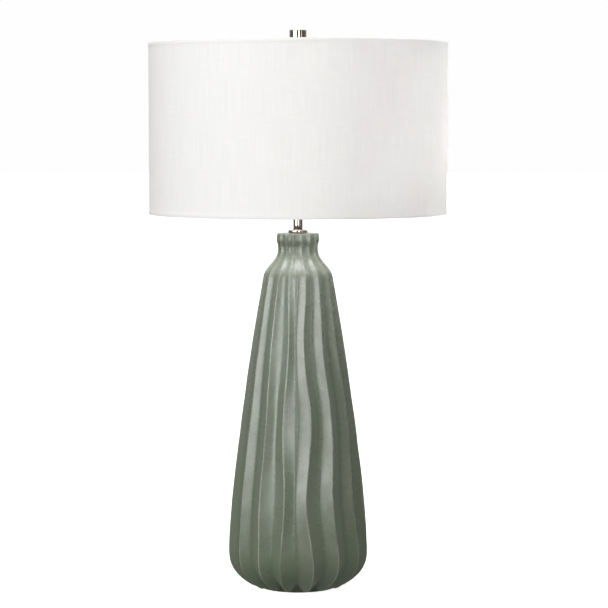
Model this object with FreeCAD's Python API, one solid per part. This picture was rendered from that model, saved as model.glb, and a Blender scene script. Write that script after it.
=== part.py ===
import FreeCAD, Part
import math
import os

# A table lamp: a ribbed ceramic vase on a felt pad, clamped by a hollow threaded rod that also
# carries a screw-in lamp holder and a wire harp, with a drum shade on the harp's stud.
# Millimetres, +Z up. The origin is the centre of the felt's underside, where the lamp stands.
# Seen from the front the viewer looks along +Y, with +X to the right.

# ---------------------------------------------------------------- driving dimensions
# Clearances
SLIP_GAP = 0.3          # between pieces that are only put together
RUNNING_GAP = 0.08      # radial, between a pin or screw that turns and its hole

# Ceramic body, from the foot up: radii are at the rib crests
FOOT_RADIUS = 60.0
FLARE_LENGTH = 53.5     # foot to belly
BELLY_RADIUS = 94.4
TAPER_LENGTH = 360.0    # belly to shoulder
SHOULDER_RADIUS = 48.2
SHOULDER_LENGTH = 44.5  # shoulder to the narrowest point of the neck
NECK_RADIUS = 27.0
NECK_LENGTH = 12.4      # narrowest point to the lip
LIP_RADIUS = 28.8
LIP_LENGTH = 7.3        # lip to the flat top
TOP_RADIUS = 27.8
FLARE_POWER = 2.8       # how quickly the foot opens into the belly
TAPER_POWER = 1.35      # how late the long taper starts to narrow
CERAMIC_WALL = 7.5      # behind the rib valleys
RECESS_RADIUS = 44.0
RECESS_DEPTH = 16.0
CHANNEL_HEIGHT = 12.0   # lowest point of the hollow, round the recess

# Ribs
RIB_COUNT = 16
FIRST_RIB_ANGLE = 10.0  # degrees to the right of the front
RIB_DEPTH = 0.075       # share of the local radius, on the body
NECK_RIB_DEPTH = 0.05   # share of the local radius, on the neck
SWAY_LENGTH = 205.0     # height of one full sway of a hand-cut rib
SWAY_HEIGHT = 228.5     # a height above the foot at which most ribs stand furthest to the right
# The ribs were cut by hand: from the first one on to the right, how far each stands off an even
# spacing, and how far it sways to either side, in degrees
RIB_SHIFTS = (0.0, 1.0, 2.0, 0.6, -0.8, 0.5, -1.2, 0.9, 0.3, -0.9, 1.1, -0.4, 0.7, 2.0, 1.0, -0.7)
RIB_SWAYS = (3.0, 2.0, 2.0, 2.4, 1.2, -1.4, 1.8, 0.9, 1.6, -1.2, 2.2, 2.6, 1.4, 0.4, 0.8, -1.6)
FLARE_STATIONS = 7
TAPER_STATIONS = 10
SHOULDER_STATIONS = 8
LIP_STATIONS = 3

# Felt, rod and clamping stack under the ceramic floor
FELT_THICKNESS = 1.5
FELT_RADIUS = 52.0
ROD_RADIUS = 5.0
ROD_BORE_RADIUS = 3.5
ROD_END_GAP = 2.5       # rod end above the felt
ROD_OVER_CAP = 1.0      # rod end above the hub of the socket cap
CORD_SLOT_HEIGHT = 62.0
CORD_SLOT_LENGTH = 14.0
CORD_SLOT_WIDTH = 6.5
FOOT_GASKET_RADIUS = 16.0
FOOT_GASKET_THICKNESS = 1.5
FOOT_WASHER_RADIUS = 20.0
FOOT_WASHER_THICKNESS = 2.0
LOCK_WASHER_RADIUS = 8.4
LOCK_WASHER_THICKNESS = 1.6
LOCK_WASHER_SPLIT = 1.5
FOOT_NUT_FLATS = 17.0
FOOT_NUT_THICKNESS = 5.0

# Cord inlet in the rear wall
INLET_HEIGHT = 38.0
INLET_BORE_RADIUS = 3.75
GROMMET_BARREL_RADIUS = 5.4
GROMMET_FLANGE_RADIUS = 8.0
GROMMET_FLANGE_THICKNESS = 2.0
GROMMET_LENGTH = 9.0
SEAT_DEPTH = 0.5        # how far the flat seat is cut below the rib valley

# Polished hardware on the neck
CAP_GASKET_RADIUS = 11.5
CAP_GASKET_THICKNESS = 0.8
VASE_CAP_RADIUS = 13.0
VASE_CAP_THICKNESS = 3.5
VASE_CAP_EDGE = 0.5
NECK_TUBE_RADIUS = 6.25
NECK_TUBE_LENGTH = 22.5

# Harp saddle and harp
SADDLE_HALF_SPAN = 25.5
SADDLE_THICKNESS = 2.4
SADDLE_WIDTH = 12.0
SADDLE_BEND_RADIUS = 4.0
SADDLE_RISE = 7.0       # underside of the strap to the shoulders that the ferrules rest on
POST_RADIUS = 2.2
POST_LENGTH = 11.5
HARP_FOOT_LENGTH = 12.5
SADDLE_NUT_FLATS = 14.0
SADDLE_NUT_THICKNESS = 3.0
HARP_WIRE_RADIUS = 1.7
HARP_HALF_WIDTH = 57.0
HARP_HEIGHT = 210.0     # underside of the saddle to the wire's centre at the top
HARP_SIDE_RADIUS = 240.0
HARP_SIDE_TURN = 17.5   # degrees
HARP_FLARE_OUTER_RADIUS = 60.0
HARP_FLARE_INNER_RADIUS = 25.0
HARP_PAD_RADIUS = 6.5
HARP_PAD_THICKNESS = 2.4
FERRULE_WALL = 1.1
FERRULE_LENGTH = 12.0

# Swivelling stud and finial
STUD_SHANK_RADIUS = 2.5
STUD_RIVET_RADIUS = 4.2
STUD_RIVET_THICKNESS = 1.6
STUD_SEAT_RADIUS = 8.5
STUD_SEAT_THICKNESS = 6.7
STUD_POST_RADIUS = 3.1
STUD_POST_LENGTH = 13.0
STUD_PLAY = 0.1         # along the axis
FINIAL_RADIUS = 11.25
FINIAL_HEIGHT = 24.5
FINIAL_EDGE = 0.5
FINIAL_BORE_DEPTH = 15.0

# Lamp holder
HUB_RADIUS = 8.0
HUB_HEIGHT = 6.0
SOCKET_RADIUS = 16.0
SOCKET_CAP_FLARE = 9.0
SOCKET_CAP_RIM = 6.0
SOCKET_CAP_WALL = 0.8
BOWL_SHARE = 0.7        # where the bowl bends, as a share of its width
SHELL_WALL = 0.5
SHELL_LENGTH = 48.0
SHELL_BEAD = 0.9
SLEEVE_WALL = 0.6
SWITCH_BLOCK_RADIUS = 13.2
SWITCH_BLOCK_HEIGHT = 21.0
SCREW_SHELL_WALL = 0.4
SCREW_SHELL_LENGTH = 23.0
CONTACT_TAB_WIDTH = 6.0
CONTACT_TAB_LENGTH = 11.0
CONTACT_TAB_THICKNESS = 0.8
CONTACT_TAB_RISE = 4.0
TERMINAL_HEAD_RADIUS = 2.6
TERMINAL_HEAD_THICKNESS = 0.9
TERMINAL_SHANK_RADIUS = 1.5
TERMINAL_SHANK_LENGTH = 5.0
SET_SCREW_RADIUS = 1.5
SET_SCREW_HEAD_RADIUS = 2.4
SET_SCREW_HEAD = 1.6
KEY_HEIGHT = 11.0       # key axis above the underside of the switch block
KEY_SHAFT_RADIUS = 1.6
KEY_SHAFT_DEPTH = 6.0   # how far the shaft goes into the switch block
KEY_COLLAR_RADIUS = 3.4
KEY_COLLAR_LENGTH = 4.0
KEY_REACH = 3.0         # collar's start, outside the shell
KEY_BLADE_WIDTH = 14.0
KEY_BLADE_LENGTH = 12.0
KEY_BLADE_THICKNESS = 4.4

# Bulb
BULB_RADIUS = 30.0
BULB_LENGTH = 110.0
BULB_WALL = 0.8
BULB_CAP_RADIUS = 12.9
BULB_CAP_WALL = 0.4
BULB_CAP_LENGTH = 23.0
BULB_INSULATOR_HEIGHT = 4.5
BULB_CONTACT_RADIUS = 4.2
BULB_CONTACT_HEIGHT = 1.6
BULB_NECK_DEPTH = 12.0  # glass inside the metal cap
BULB_NECK_TURN = 42.0   # degrees below the widest point at which the neck leaves the ball

# Drum shade
SHADE_RADIUS = 200.0
SHADE_HEIGHT = 228.0
SHADE_DROP = 9.0        # seat of the centre washer below the top edge
HEM_THICKNESS = 0.4
HEM_HEIGHT = 5.0
CLOTH_THICKNESS = 0.6
LINER_THICKNESS = 0.6
RING_WIRE_RADIUS = 1.25
RING_GAP = 0.15         # tape between a wire ring and the liner
SPIDER_ARMS = 3
SPIDER_WIRE_RADIUS = 1.6
SPIDER_WASHER_RADIUS = 14.0
SPIDER_WASHER_THICKNESS = 2.0
SPIDER_BEND_START = 12.0  # how far inside the ring the arms start to rise

# ---------------------------------------------------------------- heights that follow
BELLY_HEIGHT = FLARE_LENGTH
SHOULDER_HEIGHT = BELLY_HEIGHT + TAPER_LENGTH
NECK_HEIGHT = SHOULDER_HEIGHT + SHOULDER_LENGTH
LIP_HEIGHT = NECK_HEIGHT + NECK_LENGTH
BODY_HEIGHT = LIP_HEIGHT + LIP_LENGTH
FOOT_Z = FELT_THICKNESS
FLOOR_UNDERSIDE_Z = FOOT_Z + RECESS_DEPTH
FOOT_GASKET_Z = FLOOR_UNDERSIDE_Z - FOOT_GASKET_THICKNESS
FOOT_WASHER_Z = FOOT_GASKET_Z - FOOT_WASHER_THICKNESS
LOCK_WASHER_Z = FOOT_WASHER_Z - LOCK_WASHER_THICKNESS
FOOT_NUT_Z = LOCK_WASHER_Z - FOOT_NUT_THICKNESS
BODY_TOP_Z = FOOT_Z + BODY_HEIGHT
VASE_CAP_Z = BODY_TOP_Z + CAP_GASKET_THICKNESS
NECK_TUBE_Z = VASE_CAP_Z + VASE_CAP_THICKNESS
SADDLE_Z = NECK_TUBE_Z + NECK_TUBE_LENGTH
SADDLE_TOP_Z = SADDLE_Z + SADDLE_THICKNESS
SADDLE_SHOULDER_Z = SADDLE_Z + SADDLE_RISE
SOCKET_CAP_Z = SADDLE_TOP_Z + SADDLE_NUT_THICKNESS
HUB_TOP_Z = SOCKET_CAP_Z + HUB_HEIGHT
CAP_RIM_Z = HUB_TOP_Z + SOCKET_CAP_FLARE
CAP_TOP_Z = CAP_RIM_Z + SOCKET_CAP_RIM
SWITCH_BLOCK_Z = CAP_RIM_Z + SLIP_GAP
SCREW_SHELL_Z = SWITCH_BLOCK_Z + SWITCH_BLOCK_HEIGHT
KEY_Z = SWITCH_BLOCK_Z + KEY_HEIGHT
BULB_Z = SCREW_SHELL_Z + CONTACT_TAB_RISE
BULB_CAP_Z = BULB_Z + BULB_CONTACT_HEIGHT + BULB_INSULATOR_HEIGHT
BULB_CAP_TOP_Z = BULB_CAP_Z + BULB_CAP_LENGTH
HARP_TOP_Z = SADDLE_Z + HARP_HEIGHT
PAD_TOP_Z = HARP_TOP_Z + HARP_PAD_THICKNESS / 2
PAD_BOTTOM_Z = HARP_TOP_Z - HARP_PAD_THICKNESS / 2
STUD_SEAT_Z = PAD_TOP_Z + STUD_PLAY
SPIDER_SEAT_Z = STUD_SEAT_Z + STUD_SEAT_THICKNESS
FINIAL_Z = SPIDER_SEAT_Z + SPIDER_WASHER_THICKNESS
SHADE_TOP_Z = SPIDER_SEAT_Z + SHADE_DROP
SHADE_BOTTOM_Z = SHADE_TOP_Z - SHADE_HEIGHT

# ---------------------------------------------------------------- radii that follow
ROD_HOLE_RADIUS = ROD_RADIUS + SLIP_GAP
SLEEVE_RADIUS = SOCKET_RADIUS - SHELL_WALL - SLIP_GAP / 2
SLEEVE_BORE_RADIUS = SLEEVE_RADIUS - SLEEVE_WALL
SCREW_SHELL_BORE_RADIUS = BULB_CAP_RADIUS + SLIP_GAP
KEY_HOLE_RADIUS = KEY_SHAFT_RADIUS + 2 * SLIP_GAP
CLOTH_RADIUS = SHADE_RADIUS - HEM_THICKNESS
LINER_RADIUS = CLOTH_RADIUS - CLOTH_THICKNESS
LINER_BORE_RADIUS = LINER_RADIUS - LINER_THICKNESS
RING_RADIUS = LINER_BORE_RADIUS - RING_GAP - RING_WIRE_RADIUS
HEM_BORE_RADIUS = RING_RADIUS - RING_WIRE_RADIUS - HEM_THICKNESS
TOP_RING_Z = SHADE_TOP_Z - HEM_THICKNESS - RING_WIRE_RADIUS
BOTTOM_RING_Z = SHADE_BOTTOM_Z + HEM_THICKNESS + RING_WIRE_RADIUS

UP = FreeCAD.Vector(0, 0, 1)
BACK = FreeCAD.Vector(0, 1, 0)
RIGHT = FreeCAD.Vector(1, 0, 0)


# ---------------------------------------------------------------- helpers
def cylinder(radius, z, height):
    return Part.makeCylinder(radius, height, FreeCAD.Vector(0, 0, z), UP)


def tube(radius, bore, z, height):
    return cylinder(radius, z, height).cut(cylinder(bore, z, height))


def hex_nut(flats, thickness, z, bore):
    corner = flats / 2 / math.cos(math.radians(30))
    points = []
    for side in range(7):
        angle = math.radians(60 * side)
        points.append(FreeCAD.Vector(corner * math.cos(angle), corner * math.sin(angle), z))
    blank = Part.Face(Part.makePolygon(points)).extrude(UP * thickness)
    crown = Part.makeCone(flats / 2 + thickness, flats / 2, thickness,
                          FreeCAD.Vector(0, 0, z), UP)
    return blank.common(crown).cut(cylinder(bore, z, thickness))


def point(radius, z):
    """A point of an outline in the plane that is turned about the lamp's axis."""
    return FreeCAD.Vector(radius, 0, z)


def line(start, end):
    return Part.LineSegment(start, end).toShape()


def turned(edges):
    """The solid that a closed outline sweeps round the lamp's axis."""
    return Part.Face(Part.Wire(edges)).revolve(FreeCAD.Vector(0, 0, 0), UP, 360)


def turned_polygon(points):
    corners = points + [points[0]]
    edges = [line(corners[i], corners[i + 1]) for i in range(len(points))]
    return turned(edges)


# ---------------------------------------------------------------- ceramic body
def smoother_step(share):
    return share ** 3 * (share * (6 * share - 15) + 10)


def crest_radius(height):
    """Radius of the vase at the rib crests, at a height above its foot."""
    if height <= BELLY_HEIGHT:
        left = 1 - height / BELLY_HEIGHT
        return BELLY_RADIUS - (BELLY_RADIUS - FOOT_RADIUS) * left ** FLARE_POWER
    if height <= SHOULDER_HEIGHT:
        share = (height - BELLY_HEIGHT) / TAPER_LENGTH
        return BELLY_RADIUS - (BELLY_RADIUS - SHOULDER_RADIUS) * share ** TAPER_POWER
    if height <= NECK_HEIGHT:
        share = (height - SHOULDER_HEIGHT) / SHOULDER_LENGTH
        return SHOULDER_RADIUS - (SHOULDER_RADIUS - NECK_RADIUS) * smoother_step(share)
    if height <= LIP_HEIGHT:
        share = (height - NECK_HEIGHT) / NECK_LENGTH
        return NECK_RADIUS + (LIP_RADIUS - NECK_RADIUS) * smoother_step(share)
    share = (height - LIP_HEIGHT) / LIP_LENGTH
    return LIP_RADIUS - (LIP_RADIUS - TOP_RADIUS) * share ** 2


def rib_depth(height):
    """How deep the valleys are cut at a height, as a share of the crest radius."""
    share = min(max((height - SHOULDER_HEIGHT) / SHOULDER_LENGTH, 0), 1)
    return RIB_DEPTH + (NECK_RIB_DEPTH - RIB_DEPTH) * smoother_step(share)


def crest_angle(rib, height):
    """Angle of a rib's crest to the right of the front, with its hand-cut sway, in degrees."""
    place = rib % RIB_COUNT % len(RIB_SWAYS)
    turn = 2 * math.pi * (height - SWAY_HEIGHT) / SWAY_LENGTH
    calm = min(max((NECK_HEIGHT - height) / SHOULDER_LENGTH, 0), 1)
    sway = RIB_SWAYS[place] * math.cos(turn) * smoother_step(calm)
    return FIRST_RIB_ANGLE + 360 / RIB_COUNT * rib + RIB_SHIFTS[place] + sway


def valley_angle(rib, height):
    """Angle of the groove between a rib and the next one."""
    return (crest_angle(rib, height) + crest_angle(rib + 1, height)) / 2


def from_front(radius, angle, z):
    turn = math.radians(angle)
    return FreeCAD.Vector(radius * math.sin(turn), -radius * math.cos(turn), z)


def rib_section(height):
    """The star-shaped outline of the vase at one height: crest, valley, crest and so on."""
    crest = crest_radius(height)
    valley = crest * (1 - rib_depth(height))
    z = FOOT_Z + height
    points = []
    for rib in range(RIB_COUNT):
        points.append(from_front(crest, crest_angle(rib, height), z))
        points.append(from_front(valley, valley_angle(rib, height), z))
    points.append(points[0])
    return Part.makePolygon(points)


def station_heights():
    heights = [BELLY_HEIGHT * (step / FLARE_STATIONS) ** 1.5 for step in range(FLARE_STATIONS)]
    zones = [(BELLY_HEIGHT, SHOULDER_HEIGHT, TAPER_STATIONS),
             (SHOULDER_HEIGHT, NECK_HEIGHT, SHOULDER_STATIONS),
             (NECK_HEIGHT, LIP_HEIGHT, LIP_STATIONS),
             (LIP_HEIGHT, BODY_HEIGHT, LIP_STATIONS)]
    for low, high, count in zones:
        heights += [low + (high - low) * step / count for step in range(count)]
    heights.append(BODY_HEIGHT)
    return heights


def hollow_radius(height):
    return crest_radius(height) * (1 - rib_depth(height)) - CERAMIC_WALL


def hollow():
    """The slip-cast inside: it follows the outer wall, and dips round the foot recess."""
    floor_height = RECESS_DEPTH + CERAMIC_WALL
    top_height = BODY_HEIGHT - CERAMIC_WALL
    inner_wall = [height for height in station_heights() if CHANNEL_HEIGHT < height < top_height]
    inner_wall = [CHANNEL_HEIGHT] + inner_wall[::2] + [top_height]
    boss = RECESS_RADIUS + CERAMIC_WALL
    outline = [point(0, FOOT_Z + floor_height),
               point(boss, FOOT_Z + floor_height),
               point(boss, FOOT_Z + CHANNEL_HEIGHT)]
    outline += [point(hollow_radius(height), FOOT_Z + height) for height in inner_wall]
    outline.append(point(0, FOOT_Z + top_height))
    return turned_polygon(outline)


def inlet_seat_y():
    """Where the flat seat of the grommet's flange lies, behind the lamp's axis."""
    lowest = INLET_HEIGHT - GROMMET_FLANGE_RADIUS - FOOT_Z
    return crest_radius(lowest) * (1 - rib_depth(lowest)) - SEAT_DEPTH


def inlet_cylinder(radius, start_y, length):
    return Part.makeCylinder(radius, length, FreeCAD.Vector(0, start_y, INLET_HEIGHT), BACK)


def ceramic_body():
    vase = Part.makeLoft([rib_section(height) for height in station_heights()], True, False)
    vase = vase.cut(hollow())
    vase = vase.cut(cylinder(RECESS_RADIUS, FOOT_Z, RECESS_DEPTH))
    vase = vase.cut(cylinder(ROD_HOLE_RADIUS, FOOT_Z, BODY_HEIGHT))
    seat = inlet_seat_y()
    vase = vase.cut(inlet_cylinder(GROMMET_FLANGE_RADIUS + SLIP_GAP, seat, BELLY_RADIUS))
    hole = inlet_cylinder(GROMMET_BARREL_RADIUS + SLIP_GAP, seat / 2, seat)
    return vase.cut(hole)


def cord_grommet():
    seat = inlet_seat_y()
    barrel = inlet_cylinder(GROMMET_BARREL_RADIUS, seat - GROMMET_LENGTH, GROMMET_LENGTH)
    flange = inlet_cylinder(GROMMET_FLANGE_RADIUS, seat, GROMMET_FLANGE_THICKNESS)
    rim = [edge for edge in flange.Edges if abs(edge.CenterOfMass.y - seat) > SLIP_GAP
           and edge.Closed and len(edge.Vertexes) == 1]
    flange = flange.makeChamfer(GROMMET_FLANGE_THICKNESS / 3, rim)
    bore = inlet_cylinder(INLET_BORE_RADIUS, seat - GROMMET_LENGTH,
                          GROMMET_LENGTH + GROMMET_FLANGE_THICKNESS)
    return barrel.fuse(flange).cut(bore).removeSplitter()


# ---------------------------------------------------------------- rod and clamping stack
def base_felt():
    return cylinder(FELT_RADIUS, 0, FELT_THICKNESS)


def threaded_rod():
    start = FELT_THICKNESS + ROD_END_GAP
    rod = tube(ROD_RADIUS, ROD_BORE_RADIUS, start, HUB_TOP_Z + ROD_OVER_CAP - start)
    slot = Part.makeBox(CORD_SLOT_WIDTH, 2 * ROD_RADIUS, CORD_SLOT_LENGTH,
                        FreeCAD.Vector(-CORD_SLOT_WIDTH / 2, 0, CORD_SLOT_HEIGHT))
    return rod.cut(slot)


def lock_washer():
    ring = tube(LOCK_WASHER_RADIUS, ROD_HOLE_RADIUS, LOCK_WASHER_Z, LOCK_WASHER_THICKNESS)
    split = Part.makeBox(LOCK_WASHER_RADIUS, LOCK_WASHER_SPLIT, LOCK_WASHER_THICKNESS,
                         FreeCAD.Vector(0, -LOCK_WASHER_SPLIT / 2, LOCK_WASHER_Z))
    return ring.cut(split)


def vase_cap():
    disc = cylinder(VASE_CAP_RADIUS, VASE_CAP_Z, VASE_CAP_THICKNESS)
    rims = [edge for edge in disc.Edges if len(edge.Vertexes) == 1]
    disc = disc.makeChamfer(VASE_CAP_EDGE, rims)
    return disc.cut(cylinder(ROD_HOLE_RADIUS, VASE_CAP_Z, VASE_CAP_THICKNESS))


# ---------------------------------------------------------------- harp
def half_post(side, outer, z, length):
    """Half of a round post at one end of the saddle: its outer or its inner half."""
    centre = FreeCAD.Vector(side * SADDLE_HALF_SPAN, 0, z)
    post = Part.makeCylinder(POST_RADIUS, length, centre, UP)
    toward = side if outer else -side
    corner_x = centre.x if toward > 0 else centre.x - POST_RADIUS
    half = Part.makeBox(POST_RADIUS, 2 * POST_RADIUS, length,
                        FreeCAD.Vector(corner_x, -POST_RADIUS, z))
    return post.common(half)


def harp_saddle():
    reach = SADDLE_HALF_SPAN + SADDLE_THICKNESS / 2
    inside = reach - SADDLE_THICKNESS
    strap = Part.makeBox(2 * reach, SADDLE_WIDTH, SADDLE_RISE,
                         FreeCAD.Vector(-reach, -SADDLE_WIDTH / 2, SADDLE_Z))
    lower = [edge for edge in strap.Edges
             if abs(edge.CenterOfMass.z - SADDLE_Z) < SLIP_GAP and abs(edge.CenterOfMass.x) > inside]
    strap = strap.makeFillet(SADDLE_BEND_RADIUS + SADDLE_THICKNESS, lower)
    space = Part.makeBox(2 * inside, SADDLE_WIDTH, SADDLE_RISE + SADDLE_BEND_RADIUS,
                         FreeCAD.Vector(-inside, -SADDLE_WIDTH / 2, SADDLE_TOP_Z))
    corners = [edge for edge in space.Edges
               if abs(edge.CenterOfMass.z - SADDLE_TOP_Z) < SLIP_GAP
               and abs(edge.CenterOfMass.x) > inside - SLIP_GAP]
    space = space.makeFillet(SADDLE_BEND_RADIUS, corners)
    saddle = strap.cut(space)
    for side in (-1, 1):
        saddle = saddle.fuse(half_post(side, True, SADDLE_SHOULDER_Z, POST_LENGTH))
    return saddle.cut(cylinder(ROD_HOLE_RADIUS, SADDLE_Z, SADDLE_THICKNESS)).removeSplitter()


def harp_side(side):
    """Centre line of one side of the harp, from its foot up to the top: a run and four arcs."""
    turn = math.radians(HARP_SIDE_TURN)
    top_radius = (HARP_HALF_WIDTH - HARP_SIDE_RADIUS * (1 - math.cos(turn))) / math.cos(turn)
    top_centre_z = HARP_TOP_Z - top_radius
    widest_z = top_centre_z - (HARP_SIDE_RADIUS - top_radius) * math.sin(turn)
    side_centre_x = HARP_HALF_WIDTH - HARP_SIDE_RADIUS
    flare_width = HARP_HALF_WIDTH - SADDLE_HALF_SPAN
    flare_radii = HARP_FLARE_OUTER_RADIUS + HARP_FLARE_INNER_RADIUS
    flare_turn = math.acos(1 - flare_width / flare_radii)
    straight_end_z = widest_z - flare_radii * math.sin(flare_turn)

    def place(x, z):
        return FreeCAD.Vector(side * x, 0, z)

    def on_arc(centre_x, centre_z, radius, angle):
        return place(centre_x + radius * math.cos(angle), centre_z + radius * math.sin(angle))

    outer_x = HARP_HALF_WIDTH - HARP_FLARE_OUTER_RADIUS
    inner_x = SADDLE_HALF_SPAN + HARP_FLARE_INNER_RADIUS
    foot = place(SADDLE_HALF_SPAN, SADDLE_SHOULDER_Z + HARP_FOOT_LENGTH)
    straight_end = place(SADDLE_HALF_SPAN, straight_end_z)
    inner_mid = on_arc(inner_x, straight_end_z, HARP_FLARE_INNER_RADIUS,
                       math.pi - flare_turn / 2)
    swap = on_arc(inner_x, straight_end_z, HARP_FLARE_INNER_RADIUS, math.pi - flare_turn)
    outer_mid = on_arc(outer_x, widest_z, HARP_FLARE_OUTER_RADIUS, -flare_turn / 2)
    widest = place(HARP_HALF_WIDTH, widest_z)
    side_mid = on_arc(side_centre_x, widest_z, HARP_SIDE_RADIUS, turn / 2)
    side_end = on_arc(side_centre_x, widest_z, HARP_SIDE_RADIUS, turn)
    top_mid = on_arc(0, top_centre_z, top_radius, (turn + math.pi / 2) / 2)
    top = place(0, HARP_TOP_Z)
    return [line(foot, straight_end),
            Part.Arc(straight_end, inner_mid, swap).toShape(),
            Part.Arc(swap, outer_mid, widest).toShape(),
            Part.Arc(widest, side_mid, side_end).toShape(),
            Part.Arc(side_end, top_mid, top).toShape()]


def harp_bow():
    bow = cylinder(HARP_PAD_RADIUS, PAD_BOTTOM_Z, HARP_PAD_THICKNESS)
    for side in (-1, 1):
        foot = FreeCAD.Vector(side * SADDLE_HALF_SPAN, 0, SADDLE_SHOULDER_Z + HARP_FOOT_LENGTH)
        section = Part.Wire(Part.makeCircle(HARP_WIRE_RADIUS, foot, UP))
        wire = Part.Wire(harp_side(side)).makePipeShell([section], True, False)
        bow = bow.fuse(wire)
        bow = bow.fuse(half_post(side, False, SADDLE_SHOULDER_Z, HARP_FOOT_LENGTH))
    hole = cylinder(STUD_SHANK_RADIUS + RUNNING_GAP, PAD_BOTTOM_Z - HARP_WIRE_RADIUS,
                    HARP_PAD_THICKNESS + 2 * HARP_WIRE_RADIUS)
    trim = tube(HARP_PAD_RADIUS, STUD_SHANK_RADIUS, PAD_TOP_Z, HARP_WIRE_RADIUS)
    under = tube(HARP_PAD_RADIUS, STUD_SHANK_RADIUS, PAD_BOTTOM_Z - HARP_WIRE_RADIUS,
                 HARP_WIRE_RADIUS)
    return bow.cut(trim).cut(under).cut(hole).removeSplitter()


def harp_ferrule(side):
    bore = POST_RADIUS + SLIP_GAP
    centre = FreeCAD.Vector(side * SADDLE_HALF_SPAN, 0, SADDLE_SHOULDER_Z)
    sleeve = Part.makeCylinder(bore + FERRULE_WALL, FERRULE_LENGTH, centre, UP)
    rims = [edge for edge in sleeve.Edges if len(edge.Vertexes) == 1]
    sleeve = sleeve.makeChamfer(FERRULE_WALL / 3, rims)
    return sleeve.cut(Part.makeCylinder(bore, FERRULE_LENGTH, centre, UP))


def harp_stud():
    rivet_z = PAD_BOTTOM_Z - STUD_PLAY - STUD_RIVET_THICKNESS
    rivet = cylinder(STUD_RIVET_RADIUS, rivet_z, STUD_RIVET_THICKNESS)
    shank = cylinder(STUD_SHANK_RADIUS, rivet_z, STUD_SEAT_Z - rivet_z)
    seat = cylinder(STUD_SEAT_RADIUS, STUD_SEAT_Z, STUD_SEAT_THICKNESS)
    post = cylinder(STUD_POST_RADIUS, SPIDER_SEAT_Z, STUD_POST_LENGTH)
    tip = [edge for edge in post.Edges
           if len(edge.Vertexes) == 1 and edge.CenterOfMass.z > SPIDER_SEAT_Z + SLIP_GAP]
    post = post.makeChamfer(STUD_POST_RADIUS / 5, tip)
    return rivet.fuse([shank, seat, post]).removeSplitter()


def finial():
    knob = cylinder(FINIAL_RADIUS, FINIAL_Z, FINIAL_HEIGHT)
    rims = [edge for edge in knob.Edges if len(edge.Vertexes) == 1]
    knob = knob.makeChamfer(FINIAL_EDGE, rims)
    return knob.cut(cylinder(STUD_POST_RADIUS + SLIP_GAP, FINIAL_Z, FINIAL_BORE_DEPTH))


# ---------------------------------------------------------------- lamp holder
def socket_cap():
    """The cup that screws on the rod: hub, flared bowl and a straight rim, all of thin sheet."""
    rim = SOCKET_RADIUS + SLIP_GAP + SOCKET_CAP_WALL
    bowl = HUB_RADIUS + (rim - HUB_RADIUS) * BOWL_SHARE
    bowl_z = HUB_TOP_Z + SOCKET_CAP_FLARE * (1 - BOWL_SHARE)
    outline = [point(ROD_HOLE_RADIUS, SOCKET_CAP_Z), point(HUB_RADIUS, SOCKET_CAP_Z),
               point(HUB_RADIUS, HUB_TOP_Z), point(bowl, bowl_z),
               point(rim, CAP_RIM_Z), point(rim, CAP_TOP_Z),
               point(rim - SOCKET_CAP_WALL, CAP_TOP_Z), point(rim - SOCKET_CAP_WALL, CAP_RIM_Z),
               point(bowl - SOCKET_CAP_WALL, bowl_z + SOCKET_CAP_WALL),
               point(HUB_RADIUS - SOCKET_CAP_WALL, HUB_TOP_Z + SOCKET_CAP_WALL),
               point(ROD_HOLE_RADIUS, HUB_TOP_Z + SOCKET_CAP_WALL)]
    cup = turned_polygon(outline)
    return cup.cut(set_screw_cylinder(SET_SCREW_RADIUS + RUNNING_GAP, 0, 2 * HUB_RADIUS))


def set_screw_cylinder(radius, start_y, length):
    return Part.makeCylinder(radius, length,
                             FreeCAD.Vector(0, start_y, SOCKET_CAP_Z + HUB_HEIGHT / 2), BACK)


def cap_set_screw():
    shank = set_screw_cylinder(SET_SCREW_RADIUS, ROD_RADIUS, HUB_RADIUS - ROD_RADIUS)
    head = set_screw_cylinder(SET_SCREW_HEAD_RADIUS, HUB_RADIUS, SET_SCREW_HEAD)
    return shank.fuse(head)


def key_cylinder(radius, start, length):
    """A cylinder on the key's axis, from a distance in front of the lamp's axis outwards."""
    return Part.makeCylinder(radius, length, FreeCAD.Vector(0, -start, KEY_Z), BACK * -1)


def socket_shell():
    bore = SOCKET_RADIUS - SHELL_WALL
    top = CAP_RIM_Z + SHELL_LENGTH
    bead = top - 2 * SHELL_BEAD
    outline = [point(bore, CAP_RIM_Z), point(SOCKET_RADIUS, CAP_RIM_Z),
               point(SOCKET_RADIUS, bead), point(SOCKET_RADIUS + SHELL_BEAD, bead + SHELL_BEAD),
               point(SOCKET_RADIUS + SHELL_BEAD, top), point(bore, top)]
    return turned_polygon(outline).cut(key_cylinder(KEY_HOLE_RADIUS, 0, 2 * SOCKET_RADIUS))


def insulating_sleeve():
    sleeve = tube(SLEEVE_RADIUS, SLEEVE_BORE_RADIUS, CAP_RIM_Z + SLIP_GAP,
                  SHELL_LENGTH - 2 * SLIP_GAP)
    return sleeve.cut(key_cylinder(KEY_HOLE_RADIUS, 0, 2 * SOCKET_RADIUS))


def terminal_cylinder(side, radius, start, length):
    return Part.makeCylinder(radius, length, FreeCAD.Vector(side * start, 0, KEY_Z),
                             RIGHT * side)


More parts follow.
